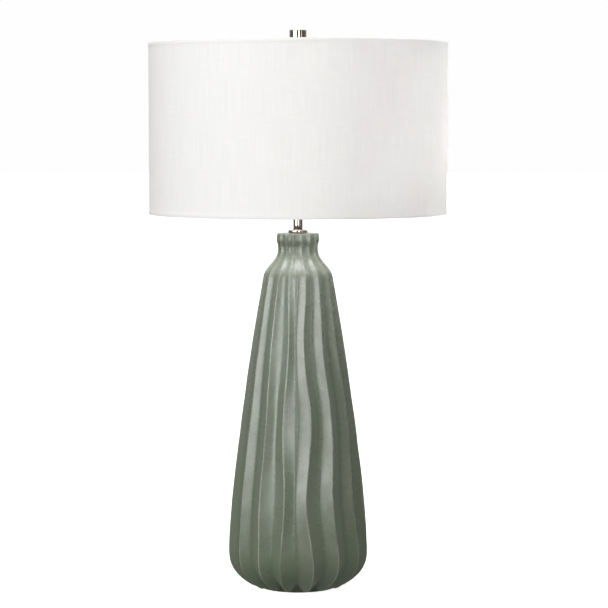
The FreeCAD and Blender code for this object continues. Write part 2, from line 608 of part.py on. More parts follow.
def socket_interior():
    block = cylinder(SWITCH_BLOCK_RADIUS, SWITCH_BLOCK_Z, SWITCH_BLOCK_HEIGHT)
    seat = SWITCH_BLOCK_RADIUS - TERMINAL_HEAD_THICKNESS
    for side in (-1, 1):
        pocket = terminal_cylinder(side, TERMINAL_HEAD_RADIUS + SLIP_GAP, seat,
                                   2 * TERMINAL_HEAD_THICKNESS)
        hole = terminal_cylinder(side, TERMINAL_SHANK_RADIUS + SLIP_GAP,
                                 seat - TERMINAL_SHANK_LENGTH - SLIP_GAP, TERMINAL_SHANK_LENGTH * 2)
        block = block.cut(pocket).cut(hole)
    shaft_end = SWITCH_BLOCK_RADIUS - KEY_SHAFT_DEPTH - SLIP_GAP
    return block.cut(key_cylinder(KEY_SHAFT_RADIUS + RUNNING_GAP, shaft_end, SWITCH_BLOCK_RADIUS))


def terminal_screws():
    seat = SWITCH_BLOCK_RADIUS - TERMINAL_HEAD_THICKNESS
    screws = []
    for side in (-1, 1):
        head = terminal_cylinder(side, TERMINAL_HEAD_RADIUS, seat, TERMINAL_HEAD_THICKNESS)
        shank = terminal_cylinder(side, TERMINAL_SHANK_RADIUS, seat - TERMINAL_SHANK_LENGTH,
                                  TERMINAL_SHANK_LENGTH)
        screws.append(head.fuse(shank).removeSplitter())
    return Part.makeCompound(screws)


def screw_shell():
    outer = SCREW_SHELL_BORE_RADIUS + SCREW_SHELL_WALL
    inner_floor = BULB_CONTACT_RADIUS + 2 * SLIP_GAP
    top = SCREW_SHELL_Z + SCREW_SHELL_LENGTH
    floor = SCREW_SHELL_Z + SCREW_SHELL_WALL
    outline = [point(CONTACT_TAB_LENGTH / 2 + inner_floor / 2, SCREW_SHELL_Z),
               point(outer, SCREW_SHELL_Z), point(outer, top),
               point(SCREW_SHELL_BORE_RADIUS, top), point(SCREW_SHELL_BORE_RADIUS, floor),
               point(CONTACT_TAB_LENGTH / 2 + inner_floor / 2, floor)]
    return turned_polygon(outline)


def centre_contact():
    """A springy tab: a foot on the switch block, a rise and a flat top under the bulb's contact."""
    foot_x = CONTACT_TAB_LENGTH / 2
    top_z = SCREW_SHELL_Z + CONTACT_TAB_RISE
    thick = CONTACT_TAB_THICKNESS
    rise_x = BULB_CONTACT_RADIUS - foot_x
    outline = [FreeCAD.Vector(foot_x, 0, SCREW_SHELL_Z),
               FreeCAD.Vector(foot_x, 0, SCREW_SHELL_Z + thick),
               FreeCAD.Vector(rise_x - thick, 0, SCREW_SHELL_Z + thick),
               FreeCAD.Vector(rise_x - thick / 2, 0, top_z - thick),
               FreeCAD.Vector(BULB_CONTACT_RADIUS, 0, top_z - thick),
               FreeCAD.Vector(BULB_CONTACT_RADIUS, 0, top_z),
               FreeCAD.Vector(rise_x - 2 * thick, 0, top_z),
               FreeCAD.Vector(-foot_x, 0, SCREW_SHELL_Z)]
    profile = Part.Face(Part.makePolygon(outline + [outline[0]]))
    tab = profile.extrude(BACK * CONTACT_TAB_WIDTH)
    tab.translate(BACK * (-CONTACT_TAB_WIDTH / 2))
    return tab


def switch_key():
    collar_start = SOCKET_RADIUS + KEY_REACH
    shaft_start = SWITCH_BLOCK_RADIUS - KEY_SHAFT_DEPTH
    shaft = key_cylinder(KEY_SHAFT_RADIUS, shaft_start, collar_start - shaft_start)
    collar = key_cylinder(KEY_COLLAR_RADIUS, collar_start, KEY_COLLAR_LENGTH)
    blade_end = collar_start + KEY_COLLAR_LENGTH + KEY_BLADE_LENGTH
    blade = Part.makeBox(KEY_BLADE_WIDTH, KEY_BLADE_LENGTH + KEY_COLLAR_LENGTH / 2,
                         KEY_BLADE_THICKNESS,
                         FreeCAD.Vector(-KEY_BLADE_WIDTH / 2, -blade_end,
                                        KEY_Z - KEY_BLADE_THICKNESS / 2))
    corners = [edge for edge in blade.Edges if abs(edge.CenterOfMass.z - KEY_Z) < SLIP_GAP]
    blade = blade.makeFillet(KEY_BLADE_WIDTH / 4, corners)
    return shaft.fuse([collar, blade]).removeSplitter()


# ---------------------------------------------------------------- bulb
def bulb_outline(ball, neck, bottom, top):
    """Corners and curve points of one side of the glass: neck's end, neck's top, ball, top."""
    ball_centre_z = BULB_Z + BULB_LENGTH - BULB_RADIUS
    points = [point(neck, bottom), point(neck, BULB_CAP_TOP_Z + BULB_CONTACT_HEIGHT)]
    for angle in (-BULB_NECK_TURN, -BULB_NECK_TURN / 2, 0, 45):
        turn = math.radians(angle)
        points.append(point(ball * math.cos(turn), ball_centre_z + ball * math.sin(turn)))
    points.append(point(0, top))
    return points


def bulb_glass():
    """A blown envelope: round outside, and inside a plain hollow that nothing shows."""
    neck = BULB_CAP_RADIUS - BULB_CAP_WALL - SLIP_GAP / 3
    bottom = BULB_CAP_TOP_Z - BULB_NECK_DEPTH
    top = BULB_Z + BULB_LENGTH
    outside = bulb_outline(BULB_RADIUS, neck, bottom, top)
    inside = bulb_outline(BULB_RADIUS - BULB_WALL, neck - BULB_WALL, bottom, top - BULB_WALL)
    foot, neck_top, leave, low, widest, high, pole = outside
    turn = math.radians(BULB_NECK_TURN)
    flare = Part.BSplineCurve()
    flare.interpolate(Points=[neck_top, leave],
                      InitialTangent=FreeCAD.Vector(0, 0, 1),
                      FinalTangent=FreeCAD.Vector(math.sin(turn), 0, math.cos(turn)))
    edges = [line(inside[0], foot),
             line(foot, neck_top),
             flare.toShape(),
             Part.Arc(leave, low, widest).toShape(),
             Part.Arc(widest, high, pole).toShape(),
             line(pole, inside[-1])]
    edges += [line(inside[i], inside[i - 1]) for i in range(len(inside) - 1, 0, -1)]
    return turned(edges)


def bulb_cap():
    inner = BULB_CAP_RADIUS - BULB_CAP_WALL
    shoulder = BULB_CAP_Z + BULB_CAP_RADIUS / 4
    floor_radius = BULB_CAP_RADIUS * 0.75
    outline = [point(floor_radius - BULB_CAP_WALL, BULB_CAP_Z), point(floor_radius, BULB_CAP_Z),
               point(BULB_CAP_RADIUS, shoulder), point(BULB_CAP_RADIUS, BULB_CAP_TOP_Z),
               point(inner, BULB_CAP_TOP_Z), point(inner, shoulder + BULB_CAP_WALL / 2),
               point(floor_radius - BULB_CAP_WALL, BULB_CAP_Z + BULB_CAP_WALL)]
    return turned_polygon(outline)


def bulb_insulator():
    low = BULB_Z + BULB_CONTACT_HEIGHT
    lower_radius = BULB_CONTACT_RADIUS + BULB_CAP_WALL
    upper_radius = BULB_CAP_RADIUS * 0.75
    return Part.makeCone(lower_radius, upper_radius, BULB_INSULATOR_HEIGHT,
                         FreeCAD.Vector(0, 0, low), UP)


# ---------------------------------------------------------------- drum shade
def spider_arm(angle, wire_radius):
    """One arm: level from the washer, then up to the top ring's wire."""
    start = SPIDER_WASHER_RADIUS - 2 * SPIDER_WIRE_RADIUS
    arm_z = SPIDER_SEAT_Z + SPIDER_WASHER_THICKNESS / 2
    bend = RING_RADIUS - SPIDER_BEND_START
    run_in = point(start, arm_z)
    knee = point(bend, arm_z)
    end = point(RING_RADIUS, TOP_RING_Z)
    level = Part.makeCylinder(wire_radius, bend - start, run_in, RIGHT)
    rise = Part.makeCylinder(wire_radius, knee.distanceToPoint(end), knee, end - knee)
    joint = Part.makeSphere(wire_radius, knee)
    arm = level.fuse([rise, joint])
    arm.rotate(FreeCAD.Vector(0, 0, 0), UP, angle)
    return arm


def spider_angles():
    return [90 + 360 / SPIDER_ARMS * arm for arm in range(SPIDER_ARMS)]


def spider_ring():
    ring = Part.makeTorus(RING_RADIUS, RING_WIRE_RADIUS, FreeCAD.Vector(0, 0, TOP_RING_Z), UP)
    washer = cylinder(SPIDER_WASHER_RADIUS, SPIDER_SEAT_Z, SPIDER_WASHER_THICKNESS)
    arms = [spider_arm(angle, SPIDER_WIRE_RADIUS) for angle in spider_angles()]
    outside = tube(LINER_RADIUS + RING_RADIUS, RING_RADIUS, SHADE_BOTTOM_Z, 2 * SHADE_HEIGHT)
    arms = [arm.cut(outside) for arm in arms]
    above = cylinder(SPIDER_WASHER_RADIUS, FINIAL_Z, SPIDER_WIRE_RADIUS)
    below = cylinder(SPIDER_WASHER_RADIUS, SPIDER_SEAT_Z - SPIDER_WIRE_RADIUS, SPIDER_WIRE_RADIUS)
    hole = cylinder(STUD_POST_RADIUS + SLIP_GAP, SPIDER_SEAT_Z, SPIDER_WASHER_THICKNESS)
    spider = ring.fuse(arms + [washer])
    return spider.cut(above).cut(below).cut(hole).removeSplitter()


def shade_bottom_ring():
    return Part.makeTorus(RING_RADIUS, RING_WIRE_RADIUS, FreeCAD.Vector(0, 0, BOTTOM_RING_Z), UP)


def hem(edge_z, inward):
    """A strip of cloth folded round one edge of the drum: outer leg, web and inner leg."""
    web = edge_z + inward * HEM_THICKNESS
    end = edge_z + inward * HEM_HEIGHT
    outline = [point(SHADE_RADIUS, edge_z), point(SHADE_RADIUS, end),
               point(CLOTH_RADIUS, end), point(CLOTH_RADIUS, web),
               point(HEM_BORE_RADIUS + HEM_THICKNESS, web),
               point(HEM_BORE_RADIUS + HEM_THICKNESS, end),
               point(HEM_BORE_RADIUS, end), point(HEM_BORE_RADIUS, edge_z)]
    return turned_polygon(outline)


def shade_top_hem():
    """The top hem is notched where the three arms go through its inner leg."""
    strip = hem(SHADE_TOP_Z, -1)
    for angle in spider_angles():
        strip = strip.cut(spider_arm(angle, SPIDER_WIRE_RADIUS + SLIP_GAP))
    return strip


def drum_layer(radius, thickness):
    return tube(radius, radius - thickness, SHADE_BOTTOM_Z + HEM_THICKNESS,
                SHADE_HEIGHT - 2 * HEM_THICKNESS)


# ---------------------------------------------------------------- the whole lamp
def build_nodes():
    return {
        "ceramic_body": ceramic_body(),
        "base_felt": base_felt(),
        "foot_gasket": tube(FOOT_GASKET_RADIUS, ROD_HOLE_RADIUS, FOOT_GASKET_Z,
                            FOOT_GASKET_THICKNESS),
        "foot_washer": tube(FOOT_WASHER_RADIUS, ROD_HOLE_RADIUS, FOOT_WASHER_Z,
                            FOOT_WASHER_THICKNESS),
        "lock_washer": lock_washer(),
        "foot_nut": hex_nut(FOOT_NUT_FLATS, FOOT_NUT_THICKNESS, FOOT_NUT_Z, ROD_HOLE_RADIUS),
        "threaded_rod": threaded_rod(),
        "cord_grommet": cord_grommet(),
        "cap_gasket": tube(CAP_GASKET_RADIUS, ROD_HOLE_RADIUS, BODY_TOP_Z, CAP_GASKET_THICKNESS),
        "vase_cap": vase_cap(),
        "neck_tube": tube(NECK_TUBE_RADIUS, ROD_HOLE_RADIUS, NECK_TUBE_Z, NECK_TUBE_LENGTH),
        "harp_saddle": harp_saddle(),
        "saddle_nut": hex_nut(SADDLE_NUT_FLATS, SADDLE_NUT_THICKNESS, SADDLE_TOP_Z,
                              ROD_HOLE_RADIUS),
        "harp_bow": harp_bow(),
        "harp_ferrule_left": harp_ferrule(-1),
        "harp_ferrule_right": harp_ferrule(1),
        "harp_stud": harp_stud(),
        "finial": finial(),
        "socket_cap": socket_cap(),
        "cap_set_screw": cap_set_screw(),
        "socket_shell": socket_shell(),
        "insulating_sleeve": insulating_sleeve(),
        "socket_interior": socket_interior(),
        "screw_shell": screw_shell(),
        "centre_contact": centre_contact(),
        "terminal_screws": terminal_screws(),
        "switch_key": switch_key(),
        "bulb_glass": bulb_glass(),
        "bulb_cap": bulb_cap(),
        "bulb_insulator": bulb_insulator(),
        "bulb_contact": cylinder(BULB_CONTACT_RADIUS, BULB_Z, BULB_CONTACT_HEIGHT),
        "shade_fabric": drum_layer(CLOTH_RADIUS, CLOTH_THICKNESS),
        "shade_liner": drum_layer(LINER_RADIUS, LINER_THICKNESS),
        "spider_ring": spider_ring(),
        "shade_bottom_ring": shade_bottom_ring(),
        "shade_top_hem": shade_top_hem(),
        "shade_bottom_hem": hem(SHADE_BOTTOM_Z, 1),
    }


os.makedirs("parts", exist_ok=True)
for node, shape in build_nodes().items():
    shape.exportStep("parts/" + node + ".step")
    print(node, "valid", shape.isValid(), "solids", len(shape.Solids),
          "volume", round(shape.Volume), "height", round(shape.BoundBox.ZMin, 1),
          "to", round(shape.BoundBox.ZMax, 1))
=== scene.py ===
# %% [markdown]
# # A ribbed ceramic table lamp
# This lesson dresses a finished CAD model. The CAD pieces are loaded first and act as a fixed
# frame: a piece that already has the right shape only gets a material, and a piece that needs a
# finer form, such as the hand-cut vase or the cloth of the shade, is made here and takes its
# CAD piece's place. Everything is in metres, with +Z up, and the viewer looks along +Y.

# %% Load the frame
import math
import bpy
import bmesh
from mathutils import Matrix, Vector


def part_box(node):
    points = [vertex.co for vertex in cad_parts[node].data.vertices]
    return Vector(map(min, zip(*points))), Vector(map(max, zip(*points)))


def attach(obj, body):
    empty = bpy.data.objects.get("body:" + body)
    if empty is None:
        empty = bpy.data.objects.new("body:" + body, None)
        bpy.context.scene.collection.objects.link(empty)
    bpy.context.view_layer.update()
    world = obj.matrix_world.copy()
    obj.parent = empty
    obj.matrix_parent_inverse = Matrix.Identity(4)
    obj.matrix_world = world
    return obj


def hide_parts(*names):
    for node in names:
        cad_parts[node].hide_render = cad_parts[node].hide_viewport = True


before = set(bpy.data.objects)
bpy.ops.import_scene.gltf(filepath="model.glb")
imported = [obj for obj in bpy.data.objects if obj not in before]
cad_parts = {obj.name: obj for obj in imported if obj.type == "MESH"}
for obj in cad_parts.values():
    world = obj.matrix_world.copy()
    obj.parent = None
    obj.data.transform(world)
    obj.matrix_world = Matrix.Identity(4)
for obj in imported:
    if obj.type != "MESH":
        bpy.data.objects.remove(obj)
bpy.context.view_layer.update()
MM = 0.001
scene = bpy.context.scene

# %% [markdown]
# ## The camera
# The photograph was taken with a long lens, which is why both rims of the shade are nearly
# straight lines. A perspective camera with a long focal length could stand at many distances;
# the curve of the two rims settles it: about three metres away, at the height of the shade,
# looking slightly down.

# %% Set the camera
CAMERA_PLACE, TILT_DOWN, FOCAL_LENGTH = (0.0081, -3.08, 0.617), 4.336, 135.65
camera_data = bpy.data.cameras.new("camera")
camera_data.sensor_width = 36.0
camera_data.lens = FOCAL_LENGTH
camera_data.clip_end = 200.0
camera = bpy.data.objects.new("camera", camera_data)
camera.location = CAMERA_PLACE
camera.rotation_euler = (math.radians(90 - TILT_DOWN), 0.0, 0.0)
scene.collection.objects.link(camera)
scene.camera = camera
scene.view_settings.view_transform = "Standard"

# %% [markdown]
# ## Small helpers
# Colours are written as the sRGB hex values that a paint chart would give, and one function
# turns them into the linear values that the renderer works with. Another function adds a node
# with its settings and links, so that every material and every node tree below reads the same
# way: a plain value fills a socket, and another node's output is linked to it. The short
# functions after it add one node each, which lets the formulas below read like formulas.

# %% Colour and node helpers
def colour(hex_code):
    """Linear RGBA of an sRGB hex colour."""
    channels = [int(hex_code[i:i + 2], 16) / 255 for i in (1, 3, 5)]
    linear = [c / 12.92 if c <= 0.04045 else ((c + 0.055) / 1.055) ** 2.4 for c in channels]
    return (*linear, 1.0)


def add(tree, kind, inputs=(), **settings):
    """Adds one node; inputs maps a socket's name or number to a value or another output."""
    node = tree.nodes.new(kind)
    for name, value in settings.items():
        setattr(node, name, value)
    for socket, value in dict(inputs).items():
        if isinstance(value, bpy.types.NodeSocket):
            tree.links.new(value, node.inputs[socket])
        else:
            node.inputs[socket].default_value = value
    return node


def new_material(name, **shader):
    """A node material with one Principled shader, whose plain values are set on its sockets."""
    material = bpy.data.materials.new(name)
    material.use_nodes = True
    tree = material.node_tree
    tree.nodes.clear()
    principled = add(tree, "ShaderNodeBsdfPrincipled", shader)
    add(tree, "ShaderNodeOutputMaterial", {"Surface": principled.outputs["BSDF"]})
    return material, tree, principled


def wear(tree, shader, base, roughness=None, relief=None, depth=0.0, strength=0.5):
    """Links what varies over a surface: colour, roughness and a relief of some depth."""
    tree.links.new(base, shader.inputs["Base Color"])
    if roughness is not None:
        tree.links.new(roughness, shader.inputs["Roughness"])
    if relief is not None:
        bump = add(tree, "ShaderNodeBump",
                   {"Height": relief, "Distance": depth, "Strength": strength})
        tree.links.new(bump.outputs[0], shader.inputs["Normal"])


def maths(operation, *values):
    """One Math node, in the tree of the first value that is a node's output."""
    tree = next(value for value in values if isinstance(value, bpy.types.NodeSocket)).id_data
    return add(tree, "ShaderNodeMath", dict(enumerate(values)), operation=operation).outputs[0]


def plus(first, second):
    return maths("ADD", first, second)


def minus(first, second):
    return maths("SUBTRACT", first, second)


def times(first, second):
    return maths("MULTIPLY", first, second)


def over(first, second):
    return maths("DIVIDE", first, second)


def vector_maths(operation, *vectors, out=0):
    """One Vector Math node; output 1 is the plain value of a length or a distance."""
    return add(vectors[0].id_data, "ShaderNodeVectorMath", dict(enumerate(vectors)),
               operation=operation).outputs[out]


def lengthened(vector, factor):
    return add(vector.id_data, "ShaderNodeVectorMath", {0: vector, 3: factor},
               operation="SCALE").outputs[0]


def split(vector):
    return add(vector.id_data, "ShaderNodeSeparateXYZ", {0: vector}).outputs


def xyz(tree, x=0.0, y=0.0, z=0.0):
    return add(tree, "ShaderNodeCombineXYZ", {0: x, 1: y, 2: z}).outputs[0]


def object_place(tree):
    return add(tree, "ShaderNodeTexCoord").outputs["Object"]


def stretch_range(value, low, high, to_low, to_high, kind="LINEAR"):
    """Maps the range from low to high onto another one, and stops at its ends."""
    return add(value.id_data, "ShaderNodeMapRange",
               {0: value, 1: low, 2: high, 3: to_low, 4: to_high},
               interpolation_type=kind).outputs[0]


def tinted(share, first, second):
    """Two colours mixed; each is a hex code or another node's output."""
    ends = [colour(end) if isinstance(end, str) else end for end in (first, second)]
    return add(share.id_data, "ShaderNodeMix", {0: share, 6: ends[0], 7: ends[1]},
               data_type="RGBA").outputs[2]


def heights(node):
    """The lowest and the highest Z of a CAD piece."""
    low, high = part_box(node)
    return low[2], high[2]


# %% [markdown]
# Most of the hardware is turned on a lathe, so one helper turns an outline about the lamp's
# axis. A real turned or stamped edge is never perfectly sharp, and the thin highlight along it
# is what makes metal read as metal, so the outline's corners are rounded first.

# %% Turning helpers
def rounded(outline, size, steps=4):
    """The closed outline with each corner replaced by a small arc that starts size away."""
    points = []
    count = len(outline)
    for i, corner in enumerate(outline):
        corner = Vector(corner)
        before = Vector(outline[i - 1]) - corner
        after = Vector(outline[(i + 1) % count]) - corner
        on_axis = corner.x < 1e-7
        reach = min(size, before.length * 0.45, after.length * 0.45)
        if on_axis or reach < 1e-6:
            points.append(tuple(corner))
            continue
        start = corner + before.normalized() * reach
        end = corner + after.normalized() * reach
        for step in range(steps + 1):
            share = step / steps
            points.append(tuple((1 - share) ** 2 * start + 2 * share * (1 - share) * corner
                                + share ** 2 * end))
    return points


def new_object(name, mesh, material=None):
    thing = bpy.data.objects.new(name, mesh)
    scene.collection.objects.link(thing)
    if material:
        mesh.materials.append(material)
    return thing


def finish_mesh(bm, name, material, angle):
    """Makes a smooth shaded object, but keeps edges sharper than the angle crisp."""
    bmesh.ops.recalc_face_normals(bm, faces=bm.faces)
    mesh = bpy.data.meshes.new(name)
    bm.to_mesh(mesh)
    bm.free()
    mesh.polygons.foreach_set("use_smooth", [True] * len(mesh.polygons))
    mesh.set_sharp_from_angle(angle=math.radians(angle))
    mesh.update()
    return new_object(name, mesh, material)


def turned(name, outline, material, columns=96, centre=(0.0, 0.0), angle=35):
    """Turns a closed outline of (radius, z) points, listed anticlockwise, about an axis."""
    bm = bmesh.new()
    rings = []
    for radius, z in outline:
        if radius < 1e-7:
            rings.append([bm.verts.new((centre[0], centre[1], z))] * columns)
            continue
        rings.append([bm.verts.new((centre[0] + radius * math.cos(2 * math.pi * c / columns),
                                    centre[1] + radius * math.sin(2 * math.pi * c / columns), z))
                      for c in range(columns)])
    for i, ring in enumerate(rings):
        above = rings[(i + 1) % len(rings)]
        for c in range(columns):
            corners = []
            for vertex in (ring[c], ring[(c + 1) % columns], above[(c + 1) % columns], above[c]):
                if vertex not in corners:
                    corners.append(vertex)
            if len(corners) > 2:
                bm.faces.new(corners)
    bmesh.ops.remove_doubles(bm, verts=bm.verts, dist=1e-7)
    return finish_mesh(bm, name, material, angle)


# %% [markdown]
# ## The studio
# The floor is a plain pale sheet that runs far back, and the sky behind it is plain white, so
# the lamp stands free as it does in the photograph. The sheet gives off an even white of its
# own, but glows a little less near the lamp, which paints a faint shade around it, and it is
# left out of the light that the lamp receives and reflects. One big light all round would
# flatten the ribs, so the light comes from soft boxes: a broad one to the left, whose reflection
# lies on the flanks that face it and leaves the others dark, a strip beside the camera for the
# flanks that face slightly right, a very narrow one far right for the second stripe on the
# metal, and one overhead. The pale backdrop behind the lamp lights the rims of shade and vase.
# Three things are stand-ins. For reflections alone the sky is dimmed, in place of dark flags
# around the set. A cloth shade lets light through, onto the neck and shoulder below it, and
# following that light through cloth and liner is slow, so a faint disc inside the shade stands
# for it. The same light also evens out the shade, so a snooted box that is left out of
# reflections lifts its right side. Disc and snoot suit the lamp at rest and stay in place when it
# is posed.

# %% Floor, sky and soft boxes
def soft_box(name, place, target, width, height, power, tint="#FFFFFF", shape="RECTANGLE"):
    data = bpy.data.lights.new(name, "AREA")
    data.shape = shape
    data.size = width
    if shape == "RECTANGLE":
        data.size_y = height
    data.energy = power
    data.color = colour(tint)[:3]
    lamp = bpy.data.objects.new(name, data)
    lamp.location = place
    lamp.rotation_euler = (Vector(target) - Vector(place)).to_track_quat("-Z", "Y").to_euler()
    lamp.visible_camera = False
    scene.collection.objects.link(lamp)
    return lamp


floor_material, tree, shader = new_material("matt_white_paper", Roughness=0.9)
shader.inputs["Emission Color"].default_value = colour("#FEFEFE")
grain = add(tree, "ShaderNodeTexNoise", {"Vector": object_place(tree), "Scale": 900.0})
wear(tree, shader, tinted(grain.outputs[0], "#F4F4F4", "#F8F8F8"))
# Near the lamp the floor glows less: a painted shade around the lamp's foot.
from_lamp = vector_maths("LENGTH", object_place(tree), out=1)
tree.links.new(stretch_range(from_lamp, 0.2, 0.9, 0.82, 1.0), shader.inputs["Emission Strength"])
floor_mesh = bpy.data.meshes.new("floor")
floor_mesh.from_pydata([(-30, -30, 0), (30, -30, 0), (30, 30, 0), (-30, 30, 0)], [], [(0, 1, 2, 3)])
floor = new_object("floor", floor_mesh, floor_material)
floor.visible_diffuse = False
floor.visible_glossy = False

world = bpy.data.worlds.new("studio")
world.use_nodes = True
tree = world.node_tree
tree.nodes.clear()
direction = split(add(tree, "ShaderNodeTexCoord").outputs["Generated"])
rise = stretch_range(direction[2], -0.3, 0.6, 0.265, 0.388)
behind = stretch_range(direction[1], -0.1, 0.9, 1.0, 2.4)
seen = add(tree, "ShaderNodeLightPath").outputs
dimmed = stretch_range(seen["Is Glossy Ray"], 0.0, 1.0, 1.0, 0.45)
room = add(tree, "ShaderNodeBackground",
           {0: colour("#F3F1EE"), 1: times(times(rise, behind), dimmed)})
white = add(tree, "ShaderNodeBackground", {0: colour("#FEFEFE"), 1: 1.0})
sky = add(tree, "ShaderNodeMixShader",
          {0: seen["Is Camera Ray"], 1: room.outputs[0], 2: white.outputs[0]})
add(tree, "ShaderNodeOutputWorld", {0: sky.outputs[0]})
scene.world = world

middle = (0.0, 0.0, 0.4)
KEY_POWER, STRIP_POWER, RIGHT_POWER, TOP_POWER = 64.7, 21.28, 3.4, 21.28
SNOOT_POWER, SHADE_POWER = 0.202, 0.8
soft_box("key_box", (-2.25, -2.45, 1.0), middle, 2.8, 1.8, KEY_POWER)
soft_box("front_strip", (0.78, -3.2, 1.0), middle, 0.85, 1.8, STRIP_POWER)
soft_box("right_box", (2.3, -1.9, 0.9), middle, 0.22, 1.6, RIGHT_POWER, "#FFF3E8")
snooted = soft_box("shade_snoot", (2.6, -0.7, 0.9), (0.12, 0.0, 0.62), 0.3, 0.25, SNOOT_POWER)
snooted.data.spread = math.radians(10)
snooted.visible_glossy = False
soft_box("top_box", (-0.2, -0.6, 2.6), middle, 1.3, 1.3, TOP_POWER)
soft_box("light_through_shade", (0.0, 0.0, 0.70), (0.0, 0.0, 0.0), 0.32, 0.32, SHADE_POWER,
         shape="DISK")

# %% [markdown]
# ## The vase
# The real vase is slip cast in a plaster mould, and while the clay is still soft its wall is
# cut into ribs by hand, with a flat blade drawn from neck to foot. That leaves sharp arrises,
# flat flanks and creased valleys that wander a few degrees to the left and right. It could be
# sculpted, or made with booleans, but the shape follows a rule: every rib is a flank, an
# arris and a flank, and only its path differs. So a plain turned blank is made first, whose
# columns know which rib they belong to, and a Geometry Nodes tree then cuts the ribs into it.

# %% The blank's profile
foot_z = heights("ceramic_body")[0]
FLARE, TAPER, SHOULDER, NECK, LIP = 53.5 * MM, 360.0 * MM, 44.5 * MM, 12.4 * MM, 7.3 * MM
FOOT_RADIUS, BELLY_RADIUS, SHOULDER_RADIUS = 60.6 * MM, 95.4 * MM, 48.8 * MM
NECK_RADIUS, LIP_RADIUS, TOP_RADIUS = 27.6 * MM, 29.4 * MM, 28.5 * MM
BODY_HEIGHT = FLARE + TAPER + SHOULDER + NECK + LIP
WALL = 7.5 * MM
RIB_COUNT = 16


def smoother_step(share):
    return share ** 3 * (share * (6 * share - 15) + 10)


def crest_radius(height):
    """Radius of the vase at its arrises, at a height above the foot."""
    if height <= FLARE:
        return BELLY_RADIUS - (BELLY_RADIUS - FOOT_RADIUS) * (1 - height / FLARE) ** 2.8
    height -= FLARE
    if height <= TAPER:
        return BELLY_RADIUS - (BELLY_RADIUS - SHOULDER_RADIUS) * (height / TAPER) ** 1.35
    height -= TAPER
    if height <= SHOULDER:
        share = height / SHOULDER
        slope = 1.35 * (BELLY_RADIUS - SHOULDER_RADIUS) / TAPER * SHOULDER
        run_on = slope * share * (1 - share) ** 3
        return (SHOULDER_RADIUS - run_on
                - (SHOULDER_RADIUS - NECK_RADIUS) * smoother_step(share))
    height -= SHOULDER
    if height <= NECK:
        return NECK_RADIUS + (LIP_RADIUS - NECK_RADIUS) * smoother_step(height / NECK)
    return LIP_RADIUS - (LIP_RADIUS - TOP_RADIUS) * min((height - NECK) / LIP, 1) ** 2


def outer_rows(foot_round=1.2 * MM, lip_round=1.3 * MM, arc_steps=4):
    """(radius, height, how far the ribs are cut) from the foot ring up over the lip."""
    rows = [(51.4 * MM, 0.0, 0.0)]
    for step in range(arc_steps):
        turn = math.pi / 2 * step / arc_steps
        inward = foot_round * (1 - math.sin(turn))
        rows.append((FOOT_RADIUS + 0.4 * MM - inward, foot_round * (1 - math.cos(turn)), 1.0))
    zones = [(foot_round, FLARE, 44, 1.4), (FLARE, FLARE + TAPER, 88, 1.0),
             (FLARE + TAPER, FLARE + TAPER + SHOULDER, 34, 1.0),
             (FLARE + TAPER + SHOULDER, BODY_HEIGHT - lip_round, 22, 1.0)]
    for low, high, count, power in zones:
        for step in range(count):
            height = low + (high - low) * (step / count) ** power
            rows.append((crest_radius(height), height, 1.0))
    for step in range(arc_steps + 1):
        turn = math.pi / 2 * step / arc_steps
        height = BODY_HEIGHT - lip_round * (1 - math.sin(turn))
        rows.append((crest_radius(height) - lip_round * (1 - math.cos(turn)), height, 1.0))
    return rows


def inner_rows(rod_radius=5.3 * MM, recess_radius=44 * MM, recess_top=16 * MM, floor=23.5 * MM,
               channel=12 * MM):
    """The same for the parts no one sees: top, rod hole, hollow inside and foot recess."""
    under_top = BODY_HEIGHT - WALL
    rows = [(20 * MM, BODY_HEIGHT, 0.6), (13 * MM, BODY_HEIGHT, 0.0),
            (rod_radius, BODY_HEIGHT, 0.0), (rod_radius, under_top, 0.0)]
    for step in range(48, -1, -1):
        height = channel + (under_top - channel) * step / 48
        rows.append((crest_radius(height) * 0.90 - WALL, height, 0.0))
    rows += [(recess_radius + WALL, channel, 0.0), (recess_radius + WALL, floor, 0.0),
             (rod_radius, floor, 0.0), (rod_radius, recess_top, 0.0),
             (recess_radius, recess_top, 0.0), (recess_radius, 0.0, 0.0)]
    return rows


vase_rows = outer_rows() + inner_rows()
print("rows of the blank:", len(vase_rows))

# %% [markdown]
# Each vertex of the blank carries what the tree needs to know: how far it lies from its own
# arris towards the next valley, how deep the ribs go there, and for the arris on each side
# its even place, its shift and its sway. The columns crowd together at arris and valley,
# because the surface turns sharply there and is flat in between.

# %% The blank
FIRST_RIB = 10.0
RIB_SHIFTS = (0.0, 1.0, 2.0, 0.6, -0.8, 0.5, -1.2, 0.9, 0.3, -0.9, 1.1, -0.4, 0.7, 2.0, 1.0, -0.7)
RIB_SWAYS = (3.0, 2.0, 2.0, 2.4, 1.2, -1.4, 1.8, 0.9, 1.6, -1.2, 2.2, 2.6, 1.4, 0.4, 0.8, -1.6)
BLANK_FACTS = ("share", "cut", "own_place", "own_sway", "own_rib", "next_place", "next_sway",
               "next_rib")
FLANK_SHARES = (0.0, 0.025, 0.06, 0.12, 0.22, 0.38, 0.55, 0.72, 0.85, 0.93, 0.975)


def blank_columns():
    """(share from arris to valley, own rib, neighbouring rib) once round the vase."""
    columns = []
    for rib in range(RIB_COUNT):
        columns += [(share, rib, rib + 1) for share in FLANK_SHARES]
        columns.append((1.0, rib, rib + 1))
        columns += [(share, rib + 1, rib) for share in reversed(FLANK_SHARES[1:])]
    return columns


def rib_place(rib):
    return FIRST_RIB + 360 / RIB_COUNT * rib + RIB_SHIFTS[rib % RIB_COUNT]


